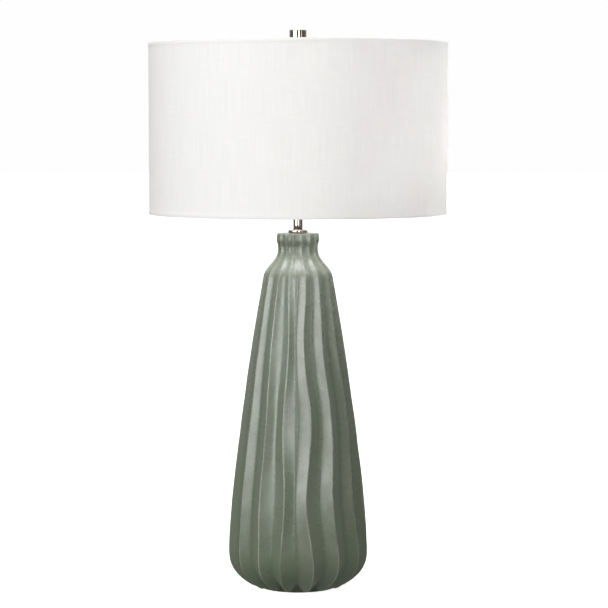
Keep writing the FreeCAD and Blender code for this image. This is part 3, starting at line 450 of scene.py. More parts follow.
def make_blank():
    columns = blank_columns()
    values = {name: [] for name in BLANK_FACTS}
    vertices = []
    for radius, height, cut in vase_rows:
        for share, own, other in columns:
            angle = math.radians(rib_place(own) * (1 - share / 2) + rib_place(other) * share / 2)
            vertices.append((radius * math.sin(angle), -radius * math.cos(angle),
                             foot_z + height))
            facts = (share, cut, rib_place(own), RIB_SWAYS[own % RIB_COUNT], own % RIB_COUNT,
                     rib_place(other), RIB_SWAYS[other % RIB_COUNT], other % RIB_COUNT)
            for name, fact in zip(BLANK_FACTS, facts):
                values[name].append(float(fact))
    wide, high = len(columns), len(vase_rows)
    faces = [(row * wide + c, row * wide + (c + 1) % wide,
              (row + 1) % high * wide + (c + 1) % wide, (row + 1) % high * wide + c)
             for row in range(high) for c in range(wide)]
    mesh = bpy.data.meshes.new("vase")
    mesh.from_pydata(vertices, [], faces)
    for name in BLANK_FACTS:
        mesh.attributes.new(name, "FLOAT", "POINT").data.foreach_set("value", values[name])
    return new_object("vase", mesh)


vase = make_blank()
print("blank:", len(vase.data.vertices), "vertices")

# %% [markdown]
# The tree has one group inside it that is used twice, once for the arris on each side of a
# point: it adds a rib's sway, which fades out on the neck, and a little wobble of the hand.
# Between the two arrises lies the valley. The point is then put on the straight line from
# arris to valley, because a blade cuts a flat flank, and arris and valley are softened by
# what the glaze does when it melts: it pulls off the arris and pools in the valley.

# %% The path of one arris
def new_tree(name, inputs, output=("Geometry", "Geometry")):
    """A Geometry Nodes tree; each input has a default value, or else its socket's kind."""
    tree = bpy.data.node_groups.new(name, "GeometryNodeTree")
    for label, value in inputs.items():
        kind = {float: "Float", int: "Int"}.get(type(value), value)
        socket = tree.interface.new_socket(label, in_out="INPUT", socket_type="NodeSocket" + kind)
        if kind != value:
            socket.default_value = value
    tree.interface.new_socket(output[0], in_out="OUTPUT", socket_type="NodeSocket" + output[1])
    return tree, tree.nodes.new("NodeGroupInput").outputs, tree.nodes.new("NodeGroupOutput").inputs


WOBBLE_LENGTH, WOBBLE_OFFSET = 45 * MM, 7.3
rib_path, given, result = new_tree(
    "rib_path",
    {"Place": 0.0, "Sway": 0.0, "Rib": 0.0, "Height": 0.0, "Calm": 1.0, "Sway length": 0.205,
     "Sway height": 0.2285, "Wobble": 0.5, "Seed": 0},
    ("Angle", "Float"))
wave = over(times(minus(given["Height"], given["Sway height"]), 2 * math.pi),
            given["Sway length"])
along = xyz(rib_path, times(given["Rib"], WOBBLE_OFFSET), over(given["Height"], WOBBLE_LENGTH))
hand = add(rib_path, "ShaderNodeTexNoise",
           {"Vector": along, "W": given["Seed"], "Scale": 1.0, "Detail": 1.0},
           noise_dimensions="4D").outputs[0]
drift = times(minus(hand, 0.5), times(given["Wobble"], 2.0))
swing = plus(times(given["Sway"], maths("COSINE", wave)), drift)
angle = plus(given["Place"], times(swing, given["Calm"]))
rib_path.links.new(maths("RADIANS", angle), result["Angle"])

# %% The tree that cuts the ribs
rib_cutter, given, result = new_tree(
    "rib_cutter",
    {"Geometry": "Geometry", "Foot height": 0.0, "Neck starts": 0.4135, "Neck length": 0.0445,
     "Foot rib depth": 0.13, "Rib depth": 0.075, "Neck rib depth": 0.09,
     "Belly height": 0.0535, "Foot lift": 0.0055, "Sway length": 0.205, "Sway height": 0.2285,
     "Wobble": 0.7, "Scoop": 0.0003, "Arris rounding": 0.0007, "Valley rounding": 0.0012,
     "Unevenness": 0.0012, "Inlet height": 0.038, "Inlet radius": 0.0057,
     "Seat radius": 0.0083, "Seat distance": 0.083, "Seed": 3, "Glaze": "Material",
     "Bare clay": "Material"})
FLANK_SLOPE = 0.47
FOOT_RUN_OUT, ARRIS_REACH, VALLEY_REACH, UNGLAZED_FOOT = 24 * MM, 1.3 * MM, 6 * MM, 0.9 * MM
DRILL_LENGTH = 60 * MM


def fact(name):
    """The value that the blank's vertex carries under a name."""
    return add(rib_cutter, "GeometryNodeInputNamedAttribute", {0: name},
               data_type="FLOAT").outputs[0]


here = add(rib_cutter, "GeometryNodeInputPosition").outputs[0]
parts = split(here)
flat = xyz(rib_cutter, parts[0], parts[1])
radius = vector_maths("LENGTH", flat, out=1)
height = minus(parts[2], given["Foot height"])
neck_share = stretch_range(over(minus(height, given["Neck starts"]), given["Neck length"]),
                           0.0, 1.0, 0.0, 1.0, "SMOOTHERSTEP")
calm = minus(1.0, neck_share)
foot_share = stretch_range(over(height, given["Belly height"]), 0.0, 1.0, 1.0, 0.0,
                           "SMOOTHERSTEP")
depth = given["Rib depth"]
for zone, zone_depth in ((neck_share, given["Neck rib depth"]),
                         (foot_share, given["Foot rib depth"])):
    depth = maths("MULTIPLY_ADD", zone, minus(zone_depth, given["Rib depth"]), depth)


def arris_angle(which):
    inputs = {"Place": fact(which + "_place"), "Sway": fact(which + "_sway"),
              "Rib": fact(which + "_rib"), "Height": height, "Calm": calm}
    for name in ("Sway length", "Sway height", "Wobble", "Seed"):
        inputs[name] = given[name]
    return add(rib_cutter, "GeometryNodeGroup", inputs, node_tree=rib_path).outputs[0]


def on_circle(size, angle):
    """The point at an angle to the right of the front, and at a distance from the axis."""
    east = times(size, maths("SINE", angle))
    south = times(size, maths("COSINE", angle))
    return xyz(rib_cutter, east, times(south, -1.0), parts[2])


def mixed(share, first, second):
    return add(rib_cutter, "ShaderNodeMix", {0: share, 4: first, 5: second},
               data_type="VECTOR").outputs[1]


own_angle, next_angle = arris_angle("own"), arris_angle("next")
valley_angle = times(plus(own_angle, next_angle), 0.5)
share = fact("share")
arris = on_circle(radius, own_angle)
valley = on_circle(times(radius, minus(1.0, depth)), valley_angle)
flank = mixed(share, arris, valley)
uncut = on_circle(radius, maths("MULTIPLY_ADD", share, minus(valley_angle, own_angle),
                                own_angle))

# How far a point on the flank is from arris and valley, and the softening there
flank_length = vector_maths("DISTANCE", arris, valley, out=1)
from_arris = times(share, flank_length)
from_valley = minus(flank_length, from_arris)


def softening(distance, size):
    """How far a rounded corner lies off the sharp one, for flanks of about FLANK_SLOPE."""
    curve = maths("SQRT", plus(maths("POWER", distance, 2.0), maths("POWER", size, 2.0)))
    return times(minus(curve, distance), FLANK_SLOPE)


def nearness(distance, reach):
    """One on the line itself, fading to nothing at reach."""
    return stretch_range(distance, 0.0, reach, 1.0, 0.0, "SMOOTHSTEP")


inwards = minus(softening(from_arris, given["Arris rounding"]),
                softening(from_valley, given["Valley rounding"]))
bow = times(times(share, minus(1.0, share)), times(given["Scoop"], 4.0))
uneven = add(rib_cutter, "ShaderNodeTexNoise",
             {"Vector": here, "W": given["Seed"], "Scale": 22.0, "Detail": 1.5},
             noise_dimensions="4D").outputs[0]
dents = times(minus(uneven, 0.5), given["Unevenness"])
inwards = plus(plus(inwards, bow), dents)
outward = vector_maths("NORMALIZE", flat)
pushed = vector_maths("SUBTRACT", flank, lengthened(outward, inwards))

# At the foot the blade runs out below the valleys, so only the arrises reach the ground
lift = times(times(nearness(height, FOOT_RUN_OUT), given["Foot lift"]),
             maths("POWER", share, 1.5))
pushed = vector_maths("ADD", pushed, xyz(rib_cutter, z=lift))
carved = add(rib_cutter, "GeometryNodeSetPosition",
             {0: given["Geometry"], 2: mixed(fact("cut"), uncut, pushed)}).outputs[0]


def remember(geometry, name, value):
    return add(rib_cutter, "GeometryNodeStoreNamedAttribute",
               {0: geometry, 2: name, 3: value}, data_type="FLOAT", domain="POINT").outputs[0]


def with_material(geometry, material, **more):
    return add(geometry.id_data, "GeometryNodeSetMaterial",
               {0: geometry, "Material": material, **more}).outputs[0]


def inlet_drill(size, start):
    """A cylinder that lies along +Y, from a distance behind the axis outwards."""
    blank = add(rib_cutter, "GeometryNodeMeshCylinder",
                {"Vertices": 48, "Radius": size, "Depth": DRILL_LENGTH}).outputs[0]
    place = xyz(rib_cutter, y=plus(start, DRILL_LENGTH / 2), z=given["Inlet height"])
    laid = add(rib_cutter, "GeometryNodeTransform",
               {"Geometry": blank, "Translation": place, "Rotation": (math.pi / 2, 0.0, 0.0)})
    return with_material(laid.outputs[0], given["Bare clay"])


# The arris and valley masks are kept for the glaze: a pale line on the arrises, partly a painted
# highlight, and darker green in the valleys, partly painted shade.
marked = remember(carved, "arris", nearness(from_arris, ARRIS_REACH))
marked = remember(marked, "valley", nearness(from_valley, VALLEY_REACH))
outside = times(maths("GREATER_THAN", fact("cut"), 0.5),
                maths("GREATER_THAN", height, UNGLAZED_FOOT))
marked = remember(marked, "glazed", outside)
drill = add(rib_cutter, "GeometryNodeMeshBoolean", {0: with_material(marked, given["Glaze"])},
            operation="DIFFERENCE", solver="MANIFOLD")
for size, start in ((given["Seat radius"], given["Seat distance"]),
                    (given["Inlet radius"], minus(given["Seat distance"], DRILL_LENGTH / 2))):
    rib_cutter.links.new(inlet_drill(size, start), drill.inputs[1])
smooth_all = add(rib_cutter, "GeometryNodeSetShadeSmooth", {0: drill.outputs[0]}).outputs[0]
solid = add(rib_cutter, "GeometryNodeRealizeInstances", {0: smooth_all}).outputs[0]
finished = with_material(with_material(solid, given["Glaze"]), given["Bare clay"],
                         Selection=maths("LESS_THAN", fact("glazed"), 0.5))
rib_cutter.links.new(finished, result["Geometry"])
print("nodes in the cutter:", len(rib_cutter.nodes))

# %% [markdown]
# ## Satin sage glaze
# The glaze is a semi-matt stoneware glaze, sprayed on and fired. It is a darker celadon green
# towards the foot and paler and greyer towards the top. In the valleys it is darker green,
# partly where it pools thick and partly painted shade in the creases. On the arrises it runs
# off and breaks paler, and the pale line drawn there is partly that break and partly a painted
# highlight. Its surface is satin rather than glossy, so the soft boxes show as broad pale flanks
# and not as sharp windows. Cloudy patches a few centimetres wide and a fine orange peel keep it
# from looking like paint. Where the foot and the cord's inlet are left unglazed, the fired
# stoneware is warm, pale and dry, with a fine sandy grain.

# %% The glaze and the bare clay
def object_noise(tree, size, detail=2.0, stretch=(1.0, 1.0, 1.0)):
    """Noise whose patches are about size metres wide, on Object coordinates."""
    place = add(tree, "ShaderNodeMapping", {"Vector": object_place(tree), "Scale": stretch})
    return add(tree, "ShaderNodeTexNoise", {"Vector": place.outputs[0], "Scale": 1.0 / size,
                                            "Detail": detail}).outputs[0]


def make_glaze():
    material, tree, shader = new_material("sage_satin_glaze", IOR=1.75)
    rise = stretch_range(split(object_place(tree))[2], 0.05, 0.44, 0.0, 1.0)
    clouds = object_noise(tree, 0.035, 3.0, (1.0, 1.0, 0.45))
    base = tinted(rise, "#63725B", "#7B8176")
    base = tinted(stretch_range(clouds, 0.35, 0.68, 0.0, 0.5), base, "#74766A")
    valley = add(tree, "ShaderNodeAttribute", attribute_name="valley").outputs["Fac"]
    arris = add(tree, "ShaderNodeAttribute", attribute_name="arris").outputs["Fac"]
    # Darker green in the valleys: partly the glaze pooling there, partly painted shade in the
    # creases.
    base = tinted(times(valley, 0.45), base, "#52664F")
    patches = object_noise(tree, 0.05, 1.0)
    # A pale line on the arrises: partly the glaze breaking thin there, partly a painted highlight.
    arris_break_and_highlight = times(arris, stretch_range(patches, 0.4, 0.6, 0.15, 0.7))
    base = tinted(arris_break_and_highlight, base, "#A9B2A0")
    satin = stretch_range(object_noise(tree, 0.02, 2.0), 0.3, 0.7, 0.24, 0.32)
    peel = object_noise(tree, 0.0022, 1.0)
    ripple = object_noise(tree, 0.03, 1.0, (1.0, 1.0, 0.4))
    lumps = maths("MULTIPLY_ADD", ripple, 3.0, peel)
    wear(tree, shader, base, satin, lumps, 0.07 * MM, 0.35)
    return material


def make_grainy(name, light, dark, grain, detail, depth, strength, stretch=(1.0, 1.0, 1.0),
                **shader_values):
    """A dry material whose one grain gives both its tone and its relief."""
    material, tree, shader = new_material(name, **shader_values)
    texture = object_noise(tree, grain, detail, stretch)
    wear(tree, shader, tinted(texture, light, dark), None, texture, depth, strength)
    return material


glaze = make_glaze()
bare_clay = make_grainy("bare_stoneware", "#B7A890", "#CFC3AE", 1.2 * MM, 3.0, 0.2 * MM, 0.5,
                        Roughness=0.85)

# %% [markdown]
# The tree's inputs are set before it is first evaluated. The result is then taken as a plain
# mesh, and the modifier is removed, so the finished vase is an ordinary mesh that replaces
# the CAD body.

# %% Cut the ribs
def apply_tree(thing, tree, **values):
    """Runs a Geometry Nodes tree on an object once and keeps only the resulting mesh."""
    modifier = thing.modifiers.new(tree.name, "NODES")
    modifier.node_group = tree
    for socket in tree.interface.items_tree:
        label = socket.name.lower().replace(" ", "_")
        if socket.in_out == "INPUT" and label in values:
            modifier[socket.identifier] = values.pop(label)
    if values:
        raise ValueError("no such inputs: " + ", ".join(values))
    bpy.context.view_layer.update()
    evaluated = thing.evaluated_get(bpy.context.evaluated_depsgraph_get())
    mesh = bpy.data.meshes.new_from_object(evaluated)
    thing.modifiers.remove(modifier)
    old = thing.data
    thing.data = mesh
    bpy.data.meshes.remove(old)
    mesh.name = thing.name


def place_piece(piece, node, body):
    """Lets a piece stand for a CAD node, on its body."""
    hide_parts(node)
    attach(piece, body)


FLANGE_THICKNESS = 2.0 * MM
grommet_low, grommet_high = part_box("cord_grommet")
inlet_z = (grommet_low[2] + grommet_high[2]) / 2
apply_tree(vase, rib_cutter, foot_height=foot_z, inlet_height=inlet_z,
           seat_distance=grommet_high[1] - FLANGE_THICKNESS, seed=3, glaze=glaze, bare_clay=bare_clay)
print("vase:", len(vase.data.polygons), "faces, materials",
      [material.name for material in vase.data.materials])
for name in BLANK_FACTS:
    if name in vase.data.attributes:
        vase.data.attributes.remove(vase.data.attributes[name])
place_piece(vase, "ceramic_body", "base")

# %% [markdown]
# ## Metals
# The bright pieces are brass, polished on a wheel and nickel plated. Nickel is a little warmer
# and darker than chrome. Polishing leaves hair scratches too fine to see one by one; together
# they blur the reflections a little, and unevenly, so the roughness carries a fine noise. The
# hidden fasteners are zinc plated steel, which is duller, bluer and cloudy.

# %% Metal finishes
def make_metal(name, light, dark, smoothest, roughest, grain, scratch):
    """A metal with cloudy tone, uneven roughness and a fine bump of scratch depth."""
    material, tree, shader = new_material(name, Metallic=1.0)
    clouds = object_noise(tree, grain * 12, 2.0)
    fine = object_noise(tree, grain, 3.0)
    wear(tree, shader, tinted(clouds, light, dark),
         stretch_range(fine, 0.3, 0.7, smoothest, roughest), fine, scratch)
    return material


polished_nickel = make_metal("polished_nickel_plate", "#D6CBC0", "#C2B4A8", 0.05, 0.10,
                             0.4 * MM, 0.000002)
nickel_wire = make_metal("nickel_plated_steel", "#CFC8BE", "#B4ABA0", 0.16, 0.28, 0.5 * MM,
                         0.00001)
zinc = make_metal("zinc_plated_steel", "#BFC3C6", "#A3A8AD", 0.30, 0.48, 0.8 * MM, 0.00002)
brass = make_metal("spun_brass", "#D9B56B", "#BF9A52", 0.22, 0.36, 0.5 * MM, 0.00001)
aluminium = make_metal("rolled_aluminium", "#D5D6D8", "#BDBFC2", 0.26, 0.38, 0.5 * MM, 0.00001)

# %% [markdown]
# ## Turned hardware
# The disc on the vase, the tube above it and the finial are all turned pieces. Each one keeps
# the CAD piece's width, and its height, which is read from its box, and only gains the
# small rounded edges that catch the light.

# %% Disc, neck tube and finial
def turned_piece(node, outline, material, body, slot, edge=0.5 * MM, columns=96, **more):
    """A turned piece that stands for a CAD node and rides on the same body."""
    piece = turned(node + "_turned", rounded(outline, edge), material, columns, **more)
    place_piece(piece, node, body)


ROD_HOLE, CAP_RADIUS, TUBE_RADIUS = 5.3 * MM, 13 * MM, 6.25 * MM
FINIAL_RADIUS, FINIAL_BORE, BORE_DEPTH = 11.25 * MM, 3.4 * MM, 15 * MM
for node, radius, edge in (("vase_cap", CAP_RADIUS, 0.8 * MM),
                           ("neck_tube", TUBE_RADIUS, 0.3 * MM)):
    low, high = heights(node)
    turned_piece(node, [(ROD_HOLE, low), (radius, low), (radius, high), (ROD_HOLE, high)],
                 polished_nickel, "base", "polished_nickel", edge)
low, high = heights("finial")
turned_piece("finial", [(FINIAL_BORE, low), (FINIAL_RADIUS, low), (FINIAL_RADIUS, high), (0, high),
                        (0, low + BORE_DEPTH), (FINIAL_BORE, low + BORE_DEPTH)],
             polished_nickel, "finial", "polished_nickel", 0.7 * MM)

# %% [markdown]
# ## The shade's cloth
# The cover is a band of white linen-look cotton, bonded flat to a stiff plastic liner and
# lapped by ten millimetres at the back. A hem of the same cloth is folded round each edge.
# Cloth on a drum is held too tight to sag or crease, so no simulation is needed: the band is
# swept round the drum as a closed strip, and what the eye reads as cloth comes from its weave,
# from the lap and from the soft edge of the hems. Each strip carries its own UV map in metres,
# along the band and across it, and the weave is drawn on that.

# %% Sweep a strip round the drum
CLOTH_RADIUS = 199.3 * MM
CLOTH_THICKNESS = 0.6 * MM
HEM_INNER, HEM_MIDDLE, FLAT_HEM = 195.2 * MM, 197.6 * MM, 14.4 * MM
LAP = 10 * MM
BACK = math.pi


def lap_rise(angle):
    """How far the lap at the back lifts what lies over it, at an angle from the front."""
    from_back = abs((angle - BACK + math.pi) % (2 * math.pi) - math.pi) * CLOTH_RADIUS
    share = min(max((from_back - LAP / 2) / (4 * MM), 0.0), 1.0)
    return CLOTH_THICKNESS * 1.05 * (1 - smoother_step(share))


def strip(name, section, angles, rise, material, closed):
    """Sweeps a closed section of (radius, z) points round the axis, with a UV map in metres."""
    around = [0.0]
    for i in range(1, len(section)):
        around.append(around[-1] + (Vector(section[i]) - Vector(section[i - 1])).length)
    around.append(around[-1] + (Vector(section[0]) - Vector(section[-1])).length)
    bm = bmesh.new()
    layer = bm.loops.layers.uv.new("cloth")
    rings = [[bm.verts.new(((radius + rise(angle)) * math.sin(angle),
                            -(radius + rise(angle)) * math.cos(angle), z))
              for radius, z in section] for angle in angles]
    count = len(section)
    steps = len(rings) if closed else len(rings) - 1
    for a in range(steps):
        b = (a + 1) % len(rings)
        start = angles[a] * CLOTH_RADIUS
        end = (angles[b] if b else angles[0] + 2 * math.pi) * CLOTH_RADIUS
        for i in range(count):
            j = (i + 1) % count
            face = bm.faces.new((rings[a][i], rings[b][i], rings[b][j], rings[a][j]))
            corners = ((start, around[i]), (end, around[i]), (end, around[i + 1]),
                       (start, around[i + 1]))
            for loop, corner in zip(face.loops, corners):
                loop[layer].uv = corner
    if not closed:
        bm.faces.new(rings[0])
        bm.faces.new(list(reversed(rings[-1])))
    return finish_mesh(bm, name, material, 50)


# %% [markdown]
# ## Woven cotton
# A plain weave: every thread goes over one and under the next. The real threads are about
# 0.4 mm apart, too fine to show from three metres, so they are drawn 0.9 mm apart. What does
# show in a photograph is that the threads are spun unevenly: some are thicker for a few
# centimetres, which gives long faint streaks up the drum and shorter ones across it.

# %% The cloth
THREAD_SPACING = 0.9 * MM


def make_cloth():
    material, tree, shader = new_material("bonded_white_cotton", Roughness=0.85)
    shader.inputs["Sheen Weight"].default_value = 0.15
    shader.inputs["Sheen Roughness"].default_value = 0.5
    place = add(tree, "ShaderNodeUVMap", uv_map="cloth").outputs[0]
    parts = split(place)

    def thread(along):
        return maths("SINE", times(along, 2 * math.pi / THREAD_SPACING))

    def slubs(across, length, width):
        scaled = xyz(tree, over(parts[across], width), over(parts[1 - across], length))
        return add(tree, "ShaderNodeTexNoise",
                   {"Vector": scaled, "Scale": 1.0, "Detail": 1.0}).outputs[0]

    crossing = times(thread(parts[0]), thread(parts[1]))
    upright = slubs(0, 60 * MM, 1.5 * MM)
    level = slubs(1, 30 * MM, 1.5 * MM)
    yarn = plus(times(upright, 0.7), times(level, 0.3))
    tone = tinted(stretch_range(yarn, 0.35, 0.65, 0.0, 1.0), "#EDEDEC", "#F2F2F1")
    relief = plus(times(crossing, 0.4), times(yarn, 1.2))
    wear(tree, shader, tone, None, relief, 0.12 * MM, 0.3)
    return material


cotton = make_cloth()

# %% Cloth band and hems
shade_low, shade_high = heights("shade_fabric")
hem_low, hem_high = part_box("shade_bottom_hem")[0][2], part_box("shade_top_hem")[1][2]
full_turn = 2 * math.pi
band_start = BACK - LAP / 2 / CLOTH_RADIUS
columns = 360
band_angles = [band_start + full_turn * c / columns for c in range(columns - 1)]
last = band_start + full_turn + LAP / CLOTH_RADIUS
band_angles += [last - (LAP + back) / CLOTH_RADIUS for back in (4 * MM, 3 * MM, 2 * MM, 1 * MM, 0)]
band_angles += [last - 5 * MM / CLOTH_RADIUS, last]


def band_rise(angle):
    """The band's end climbs over its own start and lies on it."""
    over = (angle - (band_start + full_turn)) * CLOTH_RADIUS
    share = min(max((over + 4 * MM) / (4 * MM), 0.0), 1.0)
    return CLOTH_THICKNESS * 1.05 * smoother_step(share)


def drum_section(inner, outer, low, high, rows=10):
    heights_up = [low + (high - low) * row / rows for row in range(rows + 1)]
    return [(outer, z) for z in heights_up] + [(inner, z) for z in reversed(heights_up)]


half = CLOTH_THICKNESS / 2
cover = strip("shade_cover", drum_section(CLOTH_RADIUS - half, CLOTH_RADIUS + half,
                                          shade_low, shade_high), band_angles, band_rise,
              cotton, closed=False)


def hem_section(edge, inward):
    """A strip of cloth folded round one edge: outer leg, rounded fold and inner leg."""
    thick, tall, fold = 0.4 * MM, 5 * MM, 0.9 * MM
    outer = CLOTH_RADIUS + half + thick
    end = edge + inward * tall
    outside = [(outer, end), (outer, edge + inward * fold)]
    outside += [(outer - fold * (1 - math.cos(turn)), edge + inward * fold * (1 - math.sin(turn)))
                for turn in (math.pi / 8, math.pi / 4, 3 * math.pi / 8)]
    outside += [(outer - fold, edge), (HEM_INNER + fold, edge)]
    outside += [(HEM_INNER + fold * (1 - math.sin(turn)),
                 edge + inward * fold * (1 - math.cos(turn)))
                for turn in (math.pi / 8, math.pi / 4, 3 * math.pi / 8)]
    outside += [(HEM_INNER, edge + inward * fold), (HEM_INNER, end)]
    inside = [(HEM_INNER + thick, end), (HEM_INNER + thick, edge + inward * thick * 1.6),
              (outer - thick, edge + inward * thick * 1.6), (outer - thick, end)]
    return outside + inside


ring_angles = [full_turn * c / 360 for c in range(360)]
hems = [strip("shade_hem_low", hem_section(hem_low, 1), ring_angles, lap_rise, cotton, True),
        strip("shade_hem_high", hem_section(hem_high, -1), ring_angles, lap_rise, cotton, True)]
for piece, node in zip([cover] + hems, ("shade_fabric", "shade_bottom_hem", "shade_top_hem")):
    place_piece(piece, node, "shade")

# %% [markdown]
# ## Screw threads
# Three pieces have a thread cut into them: the bulb's cap, the shell that it screws into, and
# the post under the finial. A thread is a groove whose depth depends only on height and angle,
# so one small tree cuts them all. It takes a turned blank with rows closer together than the
# thread's turns, and presses every vertex that lies outside a given radius inwards. On the
# rolled sheet of a lamp cap both walls move together, just as when the sheet is rolled.

# %% The thread tree
thread_tree, given, result = new_tree(
    "thread_roller",
    {"Geometry": "Geometry", "Pitch": 0.0036, "Depth": 0.0007, "Low": 0.0, "High": 1.0,
     "Run out": 0.001, "Outside radius": 0.011, "Metal": "Material"})
parts = split(add(thread_tree, "GeometryNodeInputPosition").outputs[0])
level = xyz(thread_tree, parts[0], parts[1])
phase = minus(times(over(parts[2], given["Pitch"]), 2 * math.pi),
              maths("ARCTAN2", parts[1], parts[0]))
groove = maths("MULTIPLY_ADD", maths("COSINE", phase), -0.5, 0.5)


def ramp(distance):
    """Nothing at the thread's end, and one from the run out inwards."""
    return add(thread_tree, "ShaderNodeClamp", {0: over(distance, given["Run out"])}).outputs[0]


inside = times(ramp(minus(parts[2], given["Low"])), ramp(minus(given["High"], parts[2])))
inside = times(inside, maths("GREATER_THAN", vector_maths("LENGTH", level, out=1),
                             given["Outside radius"]))
push = times(times(groove, inside), times(given["Depth"], -1.0))
rolled = add(thread_tree, "GeometryNodeSetPosition",
             {0: given["Geometry"],
              3: lengthened(vector_maths("NORMALIZE", level), push)}).outputs[0]
whole = add(thread_tree, "GeometryNodeRealizeInstances", {0: rolled}).outputs[0]
thread_tree.links.new(with_material(whole, given["Metal"]), result["Geometry"])


def steps_up(radius, low, high, spacing):
    """Points of a straight wall, close enough together for a thread."""
    count = max(int(round((high - low) / spacing)), 1)
    return [(radius, low + (high - low) * i / count) for i in range(count + 1)]


# %% Bulb cap, screw shell and stud
LAMP_PITCH, FINE_PITCH, ROW_GAP = 3.63 * MM, 0.94 * MM, 0.45 * MM
low, high = heights("bulb_cap")
outer_wall = steps_up(12.9 * MM, low + 1.0 * MM, high, ROW_GAP)
inner_wall = steps_up(12.45 * MM, low + 1.2 * MM, high, ROW_GAP)
cap_outline = ([(9.3 * MM, low), (12.0 * MM, low + 0.15 * MM)] + outer_wall
               + list(reversed(inner_wall)) + [(9.3 * MM, low + 0.5 * MM)])
bulb_cap = turned("bulb_cap_rolled", cap_outline, aluminium, 72, angle=60)
apply_tree(bulb_cap, thread_tree, pitch=LAMP_PITCH, depth=0.75 * MM, low=low + 1.5 * MM,
           high=high - 6.5 * MM, run_out=2.0 * MM, outside_radius=11.0 * MM, metal=aluminium)
place_piece(bulb_cap, "bulb_cap", "bulb")

low, high = heights("screw_shell")
bore = 13.2 * MM
shell_outline = (steps_up(bore + 0.4 * MM, low, high, ROW_GAP)
                 + list(reversed(steps_up(bore, low, high, ROW_GAP))))
screw_shell = turned("screw_shell_rolled", shell_outline, brass, 72, angle=60)
apply_tree(screw_shell, thread_tree, pitch=LAMP_PITCH, depth=0.25 * MM, low=low + 1.5 * MM,
           high=high - 1.0 * MM, run_out=2.0 * MM, outside_radius=12.0 * MM, metal=brass)
place_piece(screw_shell, "screw_shell", "base")

low, high = heights("harp_stud")
seat_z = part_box("spider_ring")[0][2] + 0.6 * MM
stud_outline = [(0, low), (3.6 * MM, low), (4.2 * MM, low + 0.6 * MM), (4.2 * MM, low + 1.6 * MM),
                (2.5 * MM, low + 1.6 * MM), (2.5 * MM, low + 4.2 * MM),
                (8.1 * MM, low + 4.2 * MM), (8.5 * MM, low + 4.6 * MM),
                (8.5 * MM, seat_z - 0.4 * MM), (8.1 * MM, seat_z)]
stud_outline += steps_up(3.1 * MM, seat_z, high - 0.6 * MM, 0.13 * MM)
stud_outline += [(2.5 * MM, high), (0, high)]
stud = turned("harp_stud_turned", stud_outline, nickel_wire, 48)
apply_tree(stud, thread_tree, pitch=FINE_PITCH, depth=0.35 * MM, low=seat_z + 0.8 * MM,
           high=high, run_out=0.5 * MM, outside_radius=2.9 * MM, metal=nickel_wire)
print("stud:", len(stud.data.polygons), "faces; cap:", len(bulb_cap.data.polygons), "faces")
place_piece(stud, "harp_stud", "stud")

# %% [markdown]
# ## The bulb
# A plain round bulb of opal glass: a ball on a short neck, blown in one piece, with a soft
# satin skin that scatters the light of the filament. The wall is a closed shell, so glass has
# an inside, and the neck ends inside the metal cap.

# %% Opal glass
def make_opal():
    material, tree, shader = new_material("opal_glass", IOR=1.5)
    shader.inputs["Transmission Weight"].default_value = 0.15
    haze = object_noise(tree, 0.02, 2.0)
    wear(tree, shader, tinted(haze, "#F4F2EC", "#FBFAF6"),
         stretch_range(haze, 0.3, 0.7, 0.28, 0.36))
    return material


opal = make_opal()
low, high = heights("bulb_glass")
ball, neck, ball_z = 30 * MM, 12.35 * MM, high - 30 * MM
cap_top = heights("bulb_cap")[1]


def glass_side(inset):
    """One side of the envelope, from the neck's end to the top of the ball."""
    leave = math.radians(-42)
    start = Vector((neck - inset, cap_top + 1.6 * MM))
    end = Vector(((ball - inset) * math.cos(leave), ball_z + (ball - inset) * math.sin(leave)))
    pull = (end - start).length * 0.42
    first = start + Vector((0, pull))
    second = end - Vector((-math.sin(leave), math.cos(leave))) * pull
    points = [(neck - inset, cap_top - 5.8 * MM), tuple(start)]
    for step in range(1, 13):
        t = step / 12
        points.append(tuple((1 - t) ** 3 * start + 3 * t * (1 - t) ** 2 * first
                            + 3 * t ** 2 * (1 - t) * second + t ** 3 * end))
    for step in range(1, 25):
        turn = leave + (math.pi / 2 - leave) * step / 24
        points.append((max((ball - inset) * math.cos(turn), 0.0) if step < 24 else 0.0,
                       ball_z + (ball - inset) * math.sin(turn)))
    return points


glass = turned("bulb_envelope", glass_side(0) + list(reversed(glass_side(0.8 * MM))), opal, 96,
               angle=80)
place_piece(glass, "bulb_glass", "bulb")

# %% [markdown]
# ## Ferrules and cord bushing
# The two sleeves that lock the harp are turned from bar and nickel plated, with a small bead at
# each end to grip. The bushing in the rear wall is turned the same way and then laid on its
# side: the turning is done in the mesh, so that the object itself stays unturned at the origin.

# %% Ferrules and bushing
HARP_REACH, FERRULE_BORE, FERRULE_RADIUS = 25.5 * MM, 2.5 * MM, 3.6 * MM
for side, body in ((-1, "ferrule_left"), (1, "ferrule_right")):
    node = "harp_" + body
    low, high = heights(node)
    bore, wall = FERRULE_BORE, FERRULE_RADIUS
    sleeve = [(bore, low), (wall, low), (wall, low + 1.4 * MM), (wall - 0.3 * MM, low + 1.9 * MM),
              (wall - 0.3 * MM, high - 1.9 * MM), (wall, high - 1.4 * MM), (wall, high),
              (bore, high)]
    turned_piece(node, sleeve, nickel_wire, body, "nickel_plate", 0.35 * MM, 48,
                 centre=(side * HARP_REACH, 0.0))


def make_moulded(name, light, dark, roughness, grain=0.0006):
    """A moulded plastic or rubber: even colour, faint clouds and a fine spark-eroded grain."""
    material, tree, shader = new_material(name, Roughness=roughness, IOR=1.5)
    clouds = object_noise(tree, grain * 20, 2.0)
    wear(tree, shader, tinted(clouds, light, dark), None,
         object_noise(tree, grain, 2.0), 0.03 * MM)
    return material


